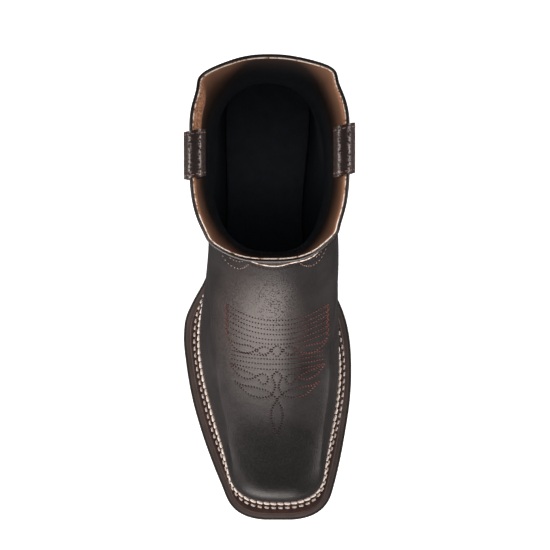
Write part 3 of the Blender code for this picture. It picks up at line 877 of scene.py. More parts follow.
def link_slab(name, rows, materials, row_materials=None):
    """Slab through rings of points: its rim row by row, and strips across its two faces."""
    rows = np.asarray(rows)
    count = rows.shape[1]
    last = (len(rows) - 1) * count
    faces = grid_faces(len(rows), count, close_count=True)
    kinds = np.repeat(row_materials or [0] * (len(rows) - 1), count).tolist()
    for start, kind in ((0, kinds[0]), (last, kinds[-1])):
        for k in range(count // 2 - 1):
            faces.append((start + k, start + k + 1, start + count - 2 - k, start + count - 1 - k))
            kinds.append(kind)
    piece = link_mesh(name, rows, faces, materials, kinds)
    point_outwards(piece, EDGE_ANGLE)
    return piece


def make_outsole(rubber, edge, tread):
    """Outsole: rounded lip, a near-black edge of painted shade with a joint line round it, and a stitched
    channel underneath.
    """
    ring = outsole_edge(*slab_ring(END_AROUND, OUTSOLE_PLACES))
    out = plan_outward(ring, closed=True)
    station = ring[:, 1] + LENGTH / 2.0
    heights = {"top": sole_top(station), "bottom": sole_bottom(station)}
    rows = []
    for inset, face, lift in OUTSOLE_PROFILE:
        moved = ring - out * inset
        moved[:, 2] = heights[face] + lift
        rows.append(moved)
    kinds = [0] + [1 if row[0] < OUTSOLE_EDGE else 2 for row in OUTSOLE_PROFILE[2:]]
    piece = link_slab("outsole_slab", rows, (rubber, edge, tread), kinds)
    return tidy(piece, "outsole")


def welt_lines():
    """The welt's foot, the line where its top meets the upper, and its outer edge."""
    half = np.linspace(0.0, WELT_END, WELT_PLACES)
    around = np.concatenate([half[::-1], half[1:]])
    side = np.where(np.arange(len(around)) < len(half), -1.0, 1.0)
    foot = upper_point(0.0, around, side)
    inner = upper_point(WELT_THICKNESS / LEVELS[1][1], around, side)
    foot, inner = (line + GAP * plan_outward(line) for line in (foot, inner))
    start, growth, end = WELT_BESIDE
    beside = ease((around - start) / growth) * ease((WELT_END - around) / end)
    matched = around_at((inner[:, 1] + LENGTH / 2.0) / LENGTH)
    edge = outsole_edge(around + (matched - around) * beside, side)
    return foot, inner, edge - WELT_LIP * plan_outward(edge)


def on_welt(inner, outer, distance, lift):
    """Run along the welt at a distance out from the upper, or in from its edge where that is negative."""
    way = (outer - inner) * np.array([1.0, 1.0, 0.0])
    width = np.linalg.norm(way, axis=-1, keepdims=True)
    narrow = np.minimum((width - WELT_ROW_EDGE) / WELT_ROW_OUT, 1.0)
    points = inner + unit(way) * (width + distance if distance < 0 else distance * narrow)
    points[:, 2] = sole_top(points[:, 1] + LENGTH / 2.0) + GAP + lift
    return points


def make_welt(leather):
    """Welt: leather strip with two sewn channels and a rounded edge."""
    foot, inner, outer = welt_lines()
    foot[:, 2] = sole_top(foot[:, 1] + LENGTH / 2.0) + GAP
    rows = np.array([foot] + [on_welt(inner, outer, *row) for row in WELT_PROFILE])
    count = rows.shape[1]
    faces = grid_faces(len(rows), count, close_rows=True)
    faces += [tuple(range(end, len(rows) * count, count)) for end in (0, count - 1)]
    piece = link_mesh("welt_strip", rows, faces, (leather,))
    point_outwards(piece, EDGE_ANGLE)
    return tidy(piece, "welt")


def lay_out(name, points, material):
    """Name the primitive that was just added, and lay its vertices on points in millimetres."""
    piece = bpy.context.object
    piece.name = name
    piece.data.vertices.foreach_set("co", (points * MM).ravel())
    piece.data.materials.append(material)
    return piece


def heel_shares(height):
    """Breadth and length of the heel at a height, as shares of its seat's."""
    taper = 1.0 - height / HEEL_HEIGHT
    return 1.0 - taper * HEEL_SIDE_SLOPE / HEEL_HALF, 1.0 - taper * HEEL_BACK_SLOPE / (LENGTH - HEEL_BREAST)


def extruded_heel(name, steps, material):
    """Heel block: a disc laid on the heel's outline, then extruded up by steps of height and inset."""
    outline = outsole_edge(*slab_ring(around_at(HEEL_BREAST / LENGTH), HEEL_PLACES))
    breast = (0.0, (HEEL_BREAST - LENGTH / 2.0) * MM, 0.0)
    middle = (0.0, breast[1] + HEEL_HALF * MM, 0.0)
    deselect()
    bpy.ops.mesh.primitive_circle_add(vertices=len(outline), radius=HEEL_HALF * MM, fill_type="NGON")
    piece = lay_out(name, outline, material)
    before, sunk, below = (1.0, 1.0), 1.0, steps[0][0]
    bpy.ops.object.mode_set(mode="EDIT")
    bpy.ops.mesh.select_all(action="SELECT")
    bpy.ops.transform.translate(value=(0.0, 0.0, below * MM))
    for height, inset in steps:
        if height > below:
            rise = {"value": (0.0, 0.0, (height - below) * MM)}
            bpy.ops.mesh.extrude_region_move(TRANSFORM_OT_translate=rise)
        across, back = heel_shares(height)
        drawn = 1.0 - inset / HEEL_HALF
        bpy.ops.transform.resize(value=(across / before[0], back / before[1], 1.0), center_override=breast)
        bpy.ops.transform.resize(value=(drawn / sunk, drawn / sunk, 1.0), center_override=middle)
        before, sunk, below = (across, back), drawn, height
    bpy.ops.object.mode_set(mode="OBJECT")
    point_outwards(piece, EDGE_ANGLE)
    return piece


def make_heel(stack, cap):
    """Stacked heel with fine joints between its lifts, and its rubber cap."""
    slit, sunk, rounding = HEEL_JOINT
    lifts = np.linspace(HEEL_CAP_HEIGHT, HEEL_HEIGHT - GAP, HEEL_LIFTS + 1)
    steps = []
    for low, high in zip(lifts[:-1], lifts[1:]):
        steps += [(low + slit, sunk), (low + rounding, 0.0), (high - rounding, 0.0), (high - slit, sunk)]
    block = extruded_heel("heel_lifts", steps, stack)
    rubber = extruded_heel("heel_top_piece", HEEL_CAP_PROFILE, cap)
    return tidy(block, "heel_stack"), tidy(rubber, "heel_cap")


def make_insole(leather):
    """Insole with a rounded upper edge, sunk a little along its middle."""
    ring = upper_point(0.0, *slab_ring(END_AROUND, INSOLE_PLACES))
    out = plan_outward(ring, closed=True)
    rows = []
    for inset, lift in INSOLE_PROFILE:
        moved = ring - out * (WALL + GAP + inset)
        moved[:, 2] = sole_top(moved[:, 1] + LENGTH / 2.0) + GAP + lift
        rows.append(moved)
    piece = link_slab("insole_board", rows, (leather,))
    return tidy(piece, "insole")


def strap_sheet(side, middle, width, skew):
    """Middle sheet of a pull strap, up the outside, over the collar and down inside, and its facing."""
    front, back = LEVELS[-1][0], LEVELS[-1][2]
    stations = middle + width * np.linspace(-0.5, 0.5, STRAP_COLUMNS)
    around = around_at((stations - front) / (back - front))
    rim = upper_point(TOP_LEVEL, around, side)
    out = side * plan_outward(rim)
    drop = (rim - upper_point(TOP_LEVEL - 1.0, around, side))[:, 2].mean()

    def leg(rows):
        return [
            upper_point(TOP_LEVEL - STRAP_LEG * share / drop, around, side) + out * distance
            for share, distance in rows
        ]

    fold = [rim + out * distance + np.array([0.0, 0.0, height]) for distance, height in STRAP_FOLD]
    path = np.array(leg(STRAP_OUTER_LEG) + fold + leg(STRAP_INNER_LEG))
    reach = [distance for _share, distance in STRAP_OUTER_LEG]
    reach += [distance for distance, _height in STRAP_FOLD]
    reach += [distance for _share, distance in STRAP_INNER_LEG]
    inward = (max(reach) - np.array(reach)) / (max(reach) - min(reach)) - 0.5
    sheet = smooth_run(path + np.array([0.0, skew, 0.0]) * inward[:, None, None], STRAP_FINENESS)
    return sheet, unit(np.cross(np.gradient(sheet, axis=0), np.gradient(sheet, axis=1)))


def make_straps(leather):
    """Pull straps: sheets of leather folded over the collar, then thickened and rounded along their edges."""
    window, fall = STRAP_HIGHLIGHT_SPREAD
    pieces = []
    for name, node, *form in STRAPS:
        sheet, facing = strap_sheet(*form)
        deselect()
        bpy.ops.mesh.primitive_grid_add(
            x_subdivisions=STRAP_COLUMNS - 1, y_subdivisions=len(sheet) - 1, size=STRAP_LEG * MM
        )
        piece = lay_out(name, sheet, leather)
        # Painted highlight: a share from the strap's bending, which lightens the grain's tops
        bend = np.linalg.norm(np.gradient(facing[:, STRAP_COLUMNS // 2], axis=0), axis=-1)
        bend = np.convolve((bend / bend.max()) ** 2, np.ones(window) / fall, "same").clip(0.0, 1.0)
        bend_highlight = piece.data.attributes.new("bend_highlight", "FLOAT", "POINT")
        bend_highlight.data.foreach_set("value", np.repeat(bend, STRAP_COLUMNS))
        body = piece.modifiers.new("thickness", "SOLIDIFY")
        body.thickness = size_of("strap_thickness") * MM
        body.offset = 0.0
        rounding = piece.modifiers.new("rounding", "BEVEL")
        rounding.width = STRAP_ROUNDING * MM
        rounding.segments = 3
        rounding.angle_limit = math.radians(STRAP_ANGLE)
        for modifier in ("thickness", "rounding"):
            bpy.ops.object.modifier_apply(modifier=modifier)
        point_outwards(piece, STRAP_ANGLE)
        pieces.append(tidy(piece, node))
    return pieces


def vamp_surface(upper):
    """Search tree over the vamp's outer faces, in millimetres; the collar over them is left out."""
    count = len(boot_columns()[0])
    faces = grid_faces(VAMP_RINGS + SEWN_RINGS, count, close_count=True)
    return BVHTree.FromPolygons((vertex_rows(upper.data, "co") / MM).tolist(), faces)


def seen_run(surface, pixels):
    """Follow a curve through pixels of the photograph down onto a surface, as far as that doesn't jump."""
    eye = Vector((CAMERA_X, CAMERA_Y, CAMERA_HEIGHT))
    points, facings = [], []
    for column, row in smooth_run(np.asarray(pixels, float), RUN_FINENESS):
        right, up = column - FRAME_MIDDLE, FRAME_MIDDLE - row
        way = Vector((right * MM_PER_PIXEL, up * MM_PER_PIXEL, -CAMERA_HEIGHT))
        place, facing, _face, _far = surface.ray_cast(eye, way.normalized())
        if place is None:
            continue
        points.append(place)
        facings.append(facing)
    if len(points) < 2:
        raise RuntimeError("A stitched line runs off the vamp")
    points, facings = np.array(points), np.array(facings)
    jumps = np.flatnonzero(np.linalg.norm(np.diff(points, axis=0), axis=1) > RUN_JUMP) + 1
    whole = max(np.split(np.arange(len(points)), jumps), key=len)
    return points[whole], facings[whole] * np.sign(facings[whole, 2:])


def spaced(points, facings, pitch):
    """Points and facings at an even pitch along a run."""
    length = np.concatenate([[0.0], np.cumsum(np.linalg.norm(np.diff(points, axis=0), axis=1))])
    count = max(int(round(length[-1] / pitch)), 1)
    at = np.linspace(0.0, length[-1], count + 1)
    even = np.stack([np.interp(at, length, points[:, k]) for k in range(3)], axis=-1)
    face = np.stack([np.interp(at, length, facings[:, k]) for k in range(3)], axis=-1)
    return even, unit(face)


def stitch_forms(run, thickness, pitch, length, turn):
    """Points of six-sided stitches along a run, each turned from its line and sunk at its ends."""
    even, face = spaced(*run, pitch)
    way = unit(np.diff(even, axis=0))
    up = unit(face[:-1] + face[1:])
    across = unit(np.cross(way, up))
    up = np.cross(across, way)
    slant = math.radians(turn)
    lay = way * math.cos(slant) + across * math.sin(slant)
    beside = across * math.cos(slant) - way * math.sin(slant)
    corners = (np.arange(STITCH_SIDES) + 0.5) * 2.0 * math.pi / STITCH_SIDES
    middle = (even[:-1] + even[1:]) / 2.0
    forms = []
    for place, swell, lift in STITCH_RINGS:
        centre = middle + lay * length / 2.0 * place + up * thickness * lift
        for corner in corners:
            side = beside * math.cos(corner) + up * math.sin(corner) * STITCH_FLATNESS
            forms.append(centre + side * thickness / 2.0 * swell)
    return np.stack(forms, axis=1)


def make_stitches(name, thread, sewn, material):
    """One mesh of all the stitches: runs, each with its share of thread, pitch, stitch length and turn."""
    rings = len(STITCH_RINGS)
    total = rings * STITCH_SIDES
    shape = grid_faces(rings, STITCH_SIDES, close_count=True)
    shape += [tuple(reversed(range(STITCH_SIDES))), tuple(range(total - STITCH_SIDES, total))]
    forms = np.concatenate([stitch_forms(run, thread * share, *kind) for run, (share, *kind) in sewn])
    offsets = np.arange(len(forms)) * total
    faces = [tuple(offset + k for k in face) for offset in offsets for face in shape]
    piece = link_mesh(name, forms, faces, (material,))
    point_outwards(piece)
    return tidy(piece)


def mirrored(pixels):
    """The other half of a chart that is mirrored about the toe's middle line."""
    return [(2.0 * CHART_MIDDLE - column, row) for column, row in pixels]


def toe_rows():
    """Rows of the toe's stitching that run from side to side, in pixels."""
    runs = []
    share = np.linspace(-1.0, 1.0, TOE_ROW_POINTS)
    for half, middle, end, gap in TOE_ROWS:
        rows = middle - (middle - end) * np.abs(share) ** TOE_ROW_BOW
        run = np.column_stack([CHART_MIDDLE + half * share, rows])
        if gap:
            runs += [run[run[:, 0] < CHART_MIDDLE - gap], run[run[:, 0] > CHART_MIDDLE + gap]]
        else:
            runs.append(run)
    return runs


def toe_ladder():
    """Zigzag that ties the row ends together on the lateral side, in pixels."""
    first, end, pitch, column, half = TOE_LADDER
    return [(column + (half if k % 2 else -half), row) for k, row in enumerate(np.arange(first, end, pitch))]


def toe_charts():
    """The toe's sewn lines in pixels: rows that run from side to side, and leaves with the rows' ladders."""
    leaves = []
    for chart in TOE_LEAVES + (tuple(toe_ladder()),):
        leaves += [chart, mirrored(chart)]
    return toe_rows(), leaves


def make_toe_stitching(upper, russet):
    """Toe stitching: two bands of rows with leaves and loops below them, sewn in russet thread."""
    surface = vamp_surface(upper)
    rows, leaves = toe_charts()
    rows = [seen_run(surface, chart) for chart in rows]
    leaves = [seen_run(surface, chart) for chart in leaves]
    sew_in(upper, rows + leaves)
    sunk = [(points - facings * SEWN_DEPTH * STITCH_SUNK, facings) for points, facings in rows + leaves]
    kinds = [TOE_ROW_STITCH] * len(rows) + [TOE_LEAF_STITCH] * len(leaves)
    return make_stitches("toe_stitching", size_of("thread"), list(zip(sunk, kinds)), russet)


def make_vamp_loops(upper, tan):
    """Two loops of tan stitching under the vamp's top edge."""
    surface = vamp_surface(upper)
    sewn = [(seen_run(surface, chart), LOOP_STITCH) for chart in VAMP_LOOPS]
    return make_stitches("vamp_loop_stitching", size_of("thread"), sewn, tan)


def make_welt_stitches(threads):
    """The welt's two sewn rows: fat stitches close by the upper, and short ones farther out."""
    _foot, inner, outer = welt_lines()
    up = np.tile([0.0, 0.0, 1.0], (len(inner), 1))
    pieces = []
    for thread, (name, distance, lift, *kind) in zip(threads, WELT_ROWS):
        run = on_welt(inner, outer, distance, lift)
        pieces.append(make_stitches(name, size_of("welt_thread"), [((run, up), kind)], thread))
    return pieces


def make_strap_stitches(pink):
    """Rows of stitches along both edges of each pull strap."""
    sewn = []
    for _name, _node, *form in STRAPS:
        sheet, facing = strap_sheet(*form)
        out = np.sign(facing[0, STRAP_COLUMNS // 2, 0] * form[0])
        for column in (1, STRAP_COLUMNS - 2):
            run = sheet[:, column] + out * facing[:, column] * size_of("strap_thickness") / 2.0
            sewn.append(((run, out * facing[:, column]), STRAP_STITCH))
    return make_stitches("strap_stitching", size_of("thread"), sewn, pink)


def make_seam_stitches(thread):
    """Row that holds the vamp and counter to the shaft, below their cut edge."""
    row = wall("vamp", VAMP_ROW_SHARE, *boot_columns())
    run = [np.concatenate([values, values[:1]]) for values in row]
    return make_stitches("vamp_edge_stitching", size_of("thread"), [(run, VAMP_ROW_STITCH)], thread)


def linear(code):
    """Linear colour from an sRGB hex code."""
    parts = [int(code[k:k + 2], 16) / 255.0 for k in (1, 3, 5)]
    return tuple(c / 12.92 if c <= 0.04045 else ((c + 0.055) / 1.055) ** 2.4 for c in parts)


def colour(code):
    """Linear colour with alpha for a node's socket, from a hex code or a colour property."""
    return (*(linear(code) if isinstance(code, str) else code), 1.0)


def per_metre(size_mm):
    """Texture scale at which a pattern's cells have a size in millimetres."""
    return 1.0 / (size_mm * MM)


def pattern(size_mm, detail, roughness=0.6):
    """Socket values for noise with cells of a size in millimetres."""
    return {"Scale": per_metre(size_mm), "Detail": detail, "Roughness": roughness}


def relief(strength, depth_mm):
    """Socket values for a relief with a depth in millimetres."""
    return {"Strength": strength, "Distance": depth_mm * MM}


def add(tree, kind, settings=None, values=None, links=None, stops=(), to=None):
    """Add a shader node with its settings, socket values, colour stops and links; gives its first output."""
    node = tree.nodes.new("ShaderNode" + kind)
    for name, value in (settings or {}).items():
        setattr(node, name, value)
    for socket, value in (values or {}).items():
        node.inputs[socket].default_value = value
    for socket, source in (links or {}).items():
        tree.links.new(source, node.inputs[socket])
    for number, (place, code) in enumerate(stops):
        points = node.color_ramp.elements
        point = points[number] if number < len(points) else points.new(place)
        point.position = place
        point.color = colour(code)
    output = next(socket for socket in node.outputs if socket.enabled)
    if to is not None:
        tree.links.new(output, to)
    return output


def new_material(name, values):
    """Material with a Principled shader and its values; gives its tree, sockets and place on the boot."""
    material = bpy.data.materials.new(name)
    material.use_nodes = True
    tree = material.node_tree
    sockets = tree.nodes["Principled BSDF"].inputs
    for socket, value in values.items():
        sockets[socket].default_value = value
    here = add(tree, "TexCoord").node.outputs["Object"]
    return material, tree, sockets, {"Vector": here}


def patch_share(tree, here, patch):
    """Share that falls from 1 at the middle of a patch to 0 at its reach, both in millimetres."""
    middle, reach = patch
    centred = {"Location": [-m / r for m, r in zip(middle, reach)], "Scale": [per_metre(r) for r in reach]}
    spot = add(tree, "Mapping", values=centred, links=here)
    return add(tree, "TexGradient", {"gradient_type": "SPHERICAL"}, links={"Vector": spot})


def off_middle(tree, here, middle):
    """Distance to either side of a line along the boot, and the height, both in metres."""
    across = add(tree, "SeparateXYZ", links=here)
    off = add(tree, "Math", {"operation": "SUBTRACT"}, {1: middle * MM}, {0: across})
    return add(tree, "Math", {"operation": "ABSOLUTE"}, links={0: off}), across.node.outputs["Z"]


def oiled_leather(tints):
    """Oil-tanned cowhide with a waxed face: near-black brown with a lighter random mottle, its gloss broken.

    A painted highlight lightens the instep, flecked by the grain, and painted shade darkens the toe box. The
    real hide has open pores about 0.6 mm apart on the instep; they are drawn at 1.4 mm so that they show in
    the render, and their pits darken the colour as painted shade.
    """
    material, tree, sockets, here = new_material("oiled_cowhide", {"IOR": 1.5, "Specular IOR Level": 0.5})
    cloud = add(tree, "TexNoise", values=pattern(30.0, 4.0), links=here)
    stops = ((0.3, tints.leather), (0.7, tints.leather_mottle))
    body = add(tree, "ValToRGB", links={"Fac": cloud}, stops=stops)
    # Painted shade: the toe box is darkened toward its middle
    waxed = patch_share(tree, here, TOE_BOX_SHADE_PATCH)
    waxed = add(tree, "MapRange", SOFT_STEP, {"From Max": 0.3}, {"Value": waxed})
    toned = add(tree, "Mix", COLOUR_MIX, {7: colour(tints.leather_toe_shade)}, {0: waxed, 6: body})
    # Painted highlight: the instep is lightened toward its middle, flecked by the grain
    highlight_share = patch_share(tree, here, PAINTED_HIGHLIGHT_PATCH)
    speck = add(tree, "TexNoise", values=pattern(1.2, 2.0, 0.7), links=here)
    spread = {"From Min": 0.3, "From Max": 0.7, "To Min": 0.0, "To Max": 2.0}
    grain = add(tree, "MapRange", values=spread, links={"Value": speck})
    worn = add(tree, "Math", {"operation": "MULTIPLY"}, links={0: highlight_share, 1: grain})
    hide = add(tree, "Mix", COLOUR_MIX, {7: colour(tints.leather_highlight)}, {0: worn, 6: toned})
    # Pore pits darken the colour as painted shade, and are made rougher and sunk, inside the pore patch
    cells = {"Scale": per_metre(1.4), "Randomness": 0.85}
    pores = add(tree, "TexVoronoi", {"feature": "F1"}, cells, here)
    pits = add(tree, "MapRange", values={"From Min": 0.16, "From Max": 0.34}, links={"Value": pores})
    shown = patch_share(tree, here, PORE_PATCH)
    shown = add(tree, "MapRange", values={"From Max": 0.4}, links={"Value": shown})
    dark = add(tree, "Math", MULTIPLY_ADD, {2: 1.0}, {0: pits, 1: shown})
    dark = add(tree, "Math", {"operation": "SUBTRACT"}, links={0: dark, 1: shown})
    darkened = {**COLOUR_MIX, "blend_type": "MULTIPLY"}
    add(tree, "Mix", darkened, {0: 1.0}, {6: hide, 7: dark}, to=sockets["Base Color"])
    gloss = add(tree, "MapRange", values={"To Min": 0.5, "To Max": 0.7}, links={"Value": cloud})
    gloss = add(tree, "Math", MULTIPLY_ADD, {1: 0.34}, {0: speck, 2: gloss})
    add(tree, "Math", MULTIPLY_ADD, {1: -0.4}, {0: dark, 2: gloss}, to=sockets["Roughness"])
    strength = add(tree, "MapRange", values={"To Min": 0.12, "To Max": 0.9}, links={"Value": shown})
    pitted = {"Height": pits, "Strength": strength}
    fine = add(tree, "Bump", values={"Distance": 0.3 * MM}, links=pitted)
    grained = add(tree, "Bump", values=relief(0.4, 0.14), links={"Height": speck, "Normal": fine})
    swell = add(tree, "TexNoise", values=pattern(9.0, 2.0, 0.5), links=here)
    swollen = {"Height": swell, "Normal": grained}
    add(tree, "Bump", values=relief(0.3, 0.5), links=swollen, to=sockets["Normal"])
    return material


def suede_lining(tints):
    """Pigskin suede: tan, matt, napped; painted shade darkens it in front, behind, and to near-black toward
    the foot.
    """
    values = {"Roughness": 0.95, "IOR": 1.45, "Specular IOR Level": 0.12}
    material, tree, sockets, here = new_material("tan_suede", values)
    nap = add(tree, "TexNoise", values=pattern(1.5, 3.0, 0.75), links=here)
    stops = ((0.41, tints.lining_shade), (0.59, tints.lining))
    tan = add(tree, "ValToRGB", links={"Fac": nap}, stops=stops)
    middle, near, far, fall = LINING_MIDDLE_SHADE
    # Painted shade: darker near the middle line in front and behind, and toward the foot by height
    off, height = off_middle(tree, here, middle)
    spread = {"From Min": near * MM, "From Max": far * MM, "To Min": -fall, "To Max": 0.0}
    centre_shade = add(tree, "MapRange", SOFT_STEP, spread, {"Value": off})
    spread = {"From Min": LINING_DARK * MM, "From Max": LINING_LIGHT * MM}
    share = add(tree, "MapRange", values=spread, links={"Value": height})
    share = add(tree, "Math", {"operation": "ADD"}, links={0: share, 1: centre_shade})
    # Colours of the painted shade, from bluish near-black low in the boot up to the lining's tan
    stops = ((0.0, "#25282d"), (0.3, "#332b28"), (0.6, "#725443"), (1.0, "#87634f"))
    below = add(tree, "ValToRGB", links={"Fac": share}, stops=stops)
    unshaded = add(tree, "MapRange", values={"From Min": 0.83, "From Max": 0.93}, links={"Value": share})
    add(tree, "Mix", COLOUR_MIX, links={0: unshaded, 6: below, 7: tan}, to=sockets["Base Color"])
    add(tree, "Bump", values=relief(0.6, 0.3), links={"Height": nap}, to=sockets["Normal"])
    return material


def strap_leather(tints):
    """Strap leather: dark and coarsely grained, with a painted highlight on the grain's tops where the strap
    bends.
    """
    material, tree, sockets, here = new_material("strap_cowhide", {"IOR": 1.5, "Specular IOR Level": 0.35})
    grain = add(tree, "TexNoise", values=pattern(1.5, 2.0), links=here)
    tops = add(tree, "MapRange", values={"From Min": 0.42, "From Max": 0.62}, links={"Value": grain})
    # Painted highlight on the grain's tops where the strap bends
    bend = add(tree, "Attribute", {"attribute_name": "bend_highlight"})
    bend_highlight = add(tree, "Math", {"operation": "MULTIPLY"}, links={0: tops, 1: bend})
    worn = {6: colour(tints.strap), 7: colour(tints.strap_highlight)}
    add(tree, "Mix", COLOUR_MIX, worn, {0: bend_highlight}, to=sockets["Base Color"])
    spread = {"To Min": 0.8, "To Max": 0.3}
    add(tree, "MapRange", values=spread, links={"Value": grain}, to=sockets["Roughness"])
    add(tree, "Bump", values=relief(0.6, 0.3), links={"Height": grain}, to=sockets["Normal"])
    return material


def dressed_leather(name, dark, light, roughness):
    """Dyed leather strip: a dark body, a little lighter where it was handled, with a fine grain."""
    material, tree, sockets, here = new_material(name, {"IOR": 1.5, "Specular IOR Level": 0.5})
    handled = add(tree, "TexNoise", values=pattern(7.0, 3.0), links=here)
    stops = ((0.32, dark), (0.72, light))
    add(tree, "ValToRGB", links={"Fac": handled}, stops=stops, to=sockets["Base Color"])
    grain = add(tree, "TexNoise", values=pattern(1.2, 3.0), links=here)
    spread = {"To Min": roughness - 0.12, "To Max": roughness + 0.16}
    add(tree, "MapRange", values=spread, links={"Value": grain}, to=sockets["Roughness"])
    add(tree, "Bump", values=relief(0.6, 0.16), links={"Height": grain}, to=sockets["Normal"])
    return material


def raw_edge(tints):
    """Undyed cut edge of the leather: cream and fibrous, with brown dye over it at the boot's sides."""
    values = {"Roughness": 0.85, "Specular IOR Level": 0.2}
    material, tree, sockets, here = new_material("raw_leather_edge", values)
    spots = add(tree, "TexNoise", values=pattern(3.0, 3.0, 0.65), links=here)
    inward = patch_share(tree, here, EDGE_PATCH)
    spread = {"From Min": 0.12, "From Max": 0.3, "To Min": -0.12, "To Max": 0.0}
    clean = add(tree, "MapRange", values=spread, links={"Value": inward})
    dyed = add(tree, "Math", {"operation": "ADD"}, links={0: spots, 1: clean})
    stops = ((0.3, tints.edge_dyed), (0.4, tints.edge_shade), (0.5, tints.edge))
    add(tree, "ValToRGB", links={"Fac": dyed}, stops=stops, to=sockets["Base Color"])
    add(tree, "Bump", values=relief(0.5, 0.2), links={"Height": spots}, to=sockets["Normal"])
    return material


def waxed_thread(name, code, shade):
    """Waxed sewing thread of twisted plies: a soft sheen and darker turns, about 0.9 mm apart."""
    material, tree, sockets, here = new_material(name, {"Roughness": 0.55, "Specular IOR Level": 0.4})
    turns = add(tree, "TexNoise", values=pattern(0.9, 2.0), links=here)
    add(tree, "ValToRGB", links={"Fac": turns}, stops=((0.3, shade), (0.6, code)), to=sockets["Base Color"])
    add(tree, "Bump", values=relief(0.6, 0.15), links={"Height": turns}, to=sockets["Normal"])
    return material


def shaded_russet_thread(tints):
    """Russet thread of the toe: painted darker across the middle as shade, dusty russet at the ends of its
    rows.
    """
    values = {"Roughness": 0.6, "Specular IOR Level": 0.35}
    material, tree, sockets, here = new_material("russet_thread", values)
    # Painted shade: the thread is darker near the toe's middle line, its own russet farther out
    middle, near, far = TOE_THREAD_SHADE
    off, _height = off_middle(tree, here, middle)
    shade_fade = add(tree, "MapRange", SOFT_STEP, {"From Min": near * MM, "From Max": far * MM}, {"Value": off})
    turns = add(tree, "TexNoise", values=pattern(1.1, 2.0), links=here)
    oiled = add(tree, "ValToRGB", links={"Fac": turns}, stops=((0.3, "#2a1513"), (0.7, tints.russet_shaded)))
    dusty = add(tree, "ValToRGB", links={"Fac": turns}, stops=((0.35, "#5f2d22"), (0.65, tints.russet)))
    add(tree, "Mix", COLOUR_MIX, links={0: shade_fade, 6: oiled, 7: dusty}, to=sockets["Base Color"])
    add(tree, "Bump", values=relief(0.6, 0.15), links={"Height": turns}, to=sockets["Normal"])
    return material


def moulded_rubber(name, body, worn, roughness):
    """Moulded rubber: matt, dusty in soft random patches, with the mould's fine blasted texture."""
    material, tree, sockets, here = new_material(name, {"IOR": 1.52, "Specular IOR Level": 0.4})
    dust = add(tree, "TexNoise", values=pattern(14.0, 4.0), links=here)
    add(tree, "ValToRGB", links={"Fac": dust}, stops=((0.35, body), (0.75, worn)), to=sockets["Base Color"])
    spread = {"To Min": roughness - 0.06, "To Max": roughness + 0.1}
    add(tree, "MapRange", values=spread, links={"Value": dust}, to=sockets["Roughness"])
    blast = add(tree, "TexNoise", values=pattern(1.0, 2.0), links=here)
    add(tree, "Bump", values=relief(0.45, 0.12), links={"Height": blast}, to=sockets["Normal"])
    return material


def stacked_leather():
    """Leather heel lifts glued in a stack: thin brown layers of differing shades, edge dressed with wax."""
    material, tree, sockets, here = new_material("stacked_heel_leather", {"IOR": 1.5, "Coat Weight": 0.15})
    flat = add(tree, "Mapping", values={"Scale": (0.22, 0.22, 9.0)}, links=here)
    layers = add(tree, "TexNoise", values=pattern(11.0, 4.0, 0.55), links={"Vector": flat})
    stops = ((0.3, "#1f140f"), (0.5, "#3a271b"), (0.72, "#57402e"))
    add(tree, "ValToRGB", links={"Fac": layers}, stops=stops, to=sockets["Base Color"])
    spread = {"To Min": 0.36, "To Max": 0.6}
    add(tree, "MapRange", values=spread, links={"Value": layers}, to=sockets["Roughness"])
    add(tree, "Bump", values=relief(0.4, 0.25), links={"Height": layers}, to=sockets["Normal"])
    return material


def set_camera():
    """Camera straight above the boot, with the photograph's frame."""
    data = bpy.data.cameras.new("camera")
    data.sensor_width = SENSOR
    data.lens = SENSOR * CAMERA_HEIGHT / (MM_PER_PIXEL * FRAME_PIXELS)
    data.clip_end = CAMERA_REACH
    camera = link_object("camera", data, (CAMERA_X * MM, CAMERA_Y * MM, CAMERA_HEIGHT * MM))
    bpy.context.scene.camera = camera
    return camera


def area_light(name, place, aim, size, power):
    """Softbox at a place in metres, turned toward a point."""
    data = bpy.data.lights.new(name, "AREA")
    data.shape = "RECTANGLE"
    data.size, data.size_y = size
    data.energy = power
    data.color = LAMP_TINT
    lamp = link_object(name, data, place)
    lamp.visible_camera = False
    lamp.rotation_euler = (Vector(aim) - Vector(place)).to_track_quat("-Z", "Y").to_euler()
    return lamp


def studio_paper():
    """White paper sweep: matt, and lit from behind as on a light table, so that it stays even."""
    values = {"Roughness": 0.9, "Specular IOR Level": 0.1, "Emission Strength": PAPER_GLOW}
    values["Emission Color"] = colour("#ffffff")
    material, tree, sockets, here = new_material("white_paper", values)
    fibre = add(tree, "TexNoise", values={"Scale": per_metre(30.0)}, links=here)
    stops = ((0.3, "#f4f4f4"), (0.7, "#f8f8f8"))
    add(tree, "ValToRGB", links={"Fac": fibre}, stops=stops, to=sockets["Base Color"])
    return material


def shaft_light(place):
    """Faint soft light inside the shaft, so that the dark there keeps its form."""
    data = bpy.data.lights.new("shaft_light", "POINT")
    data.energy = SHAFT_POWER
    data.shadow_soft_size = SHAFT_SOFTNESS
    lamp = link_object("shaft_light", data, place)
    lamp.visible_camera = False
    lamp.visible_glossy = False
    return lamp


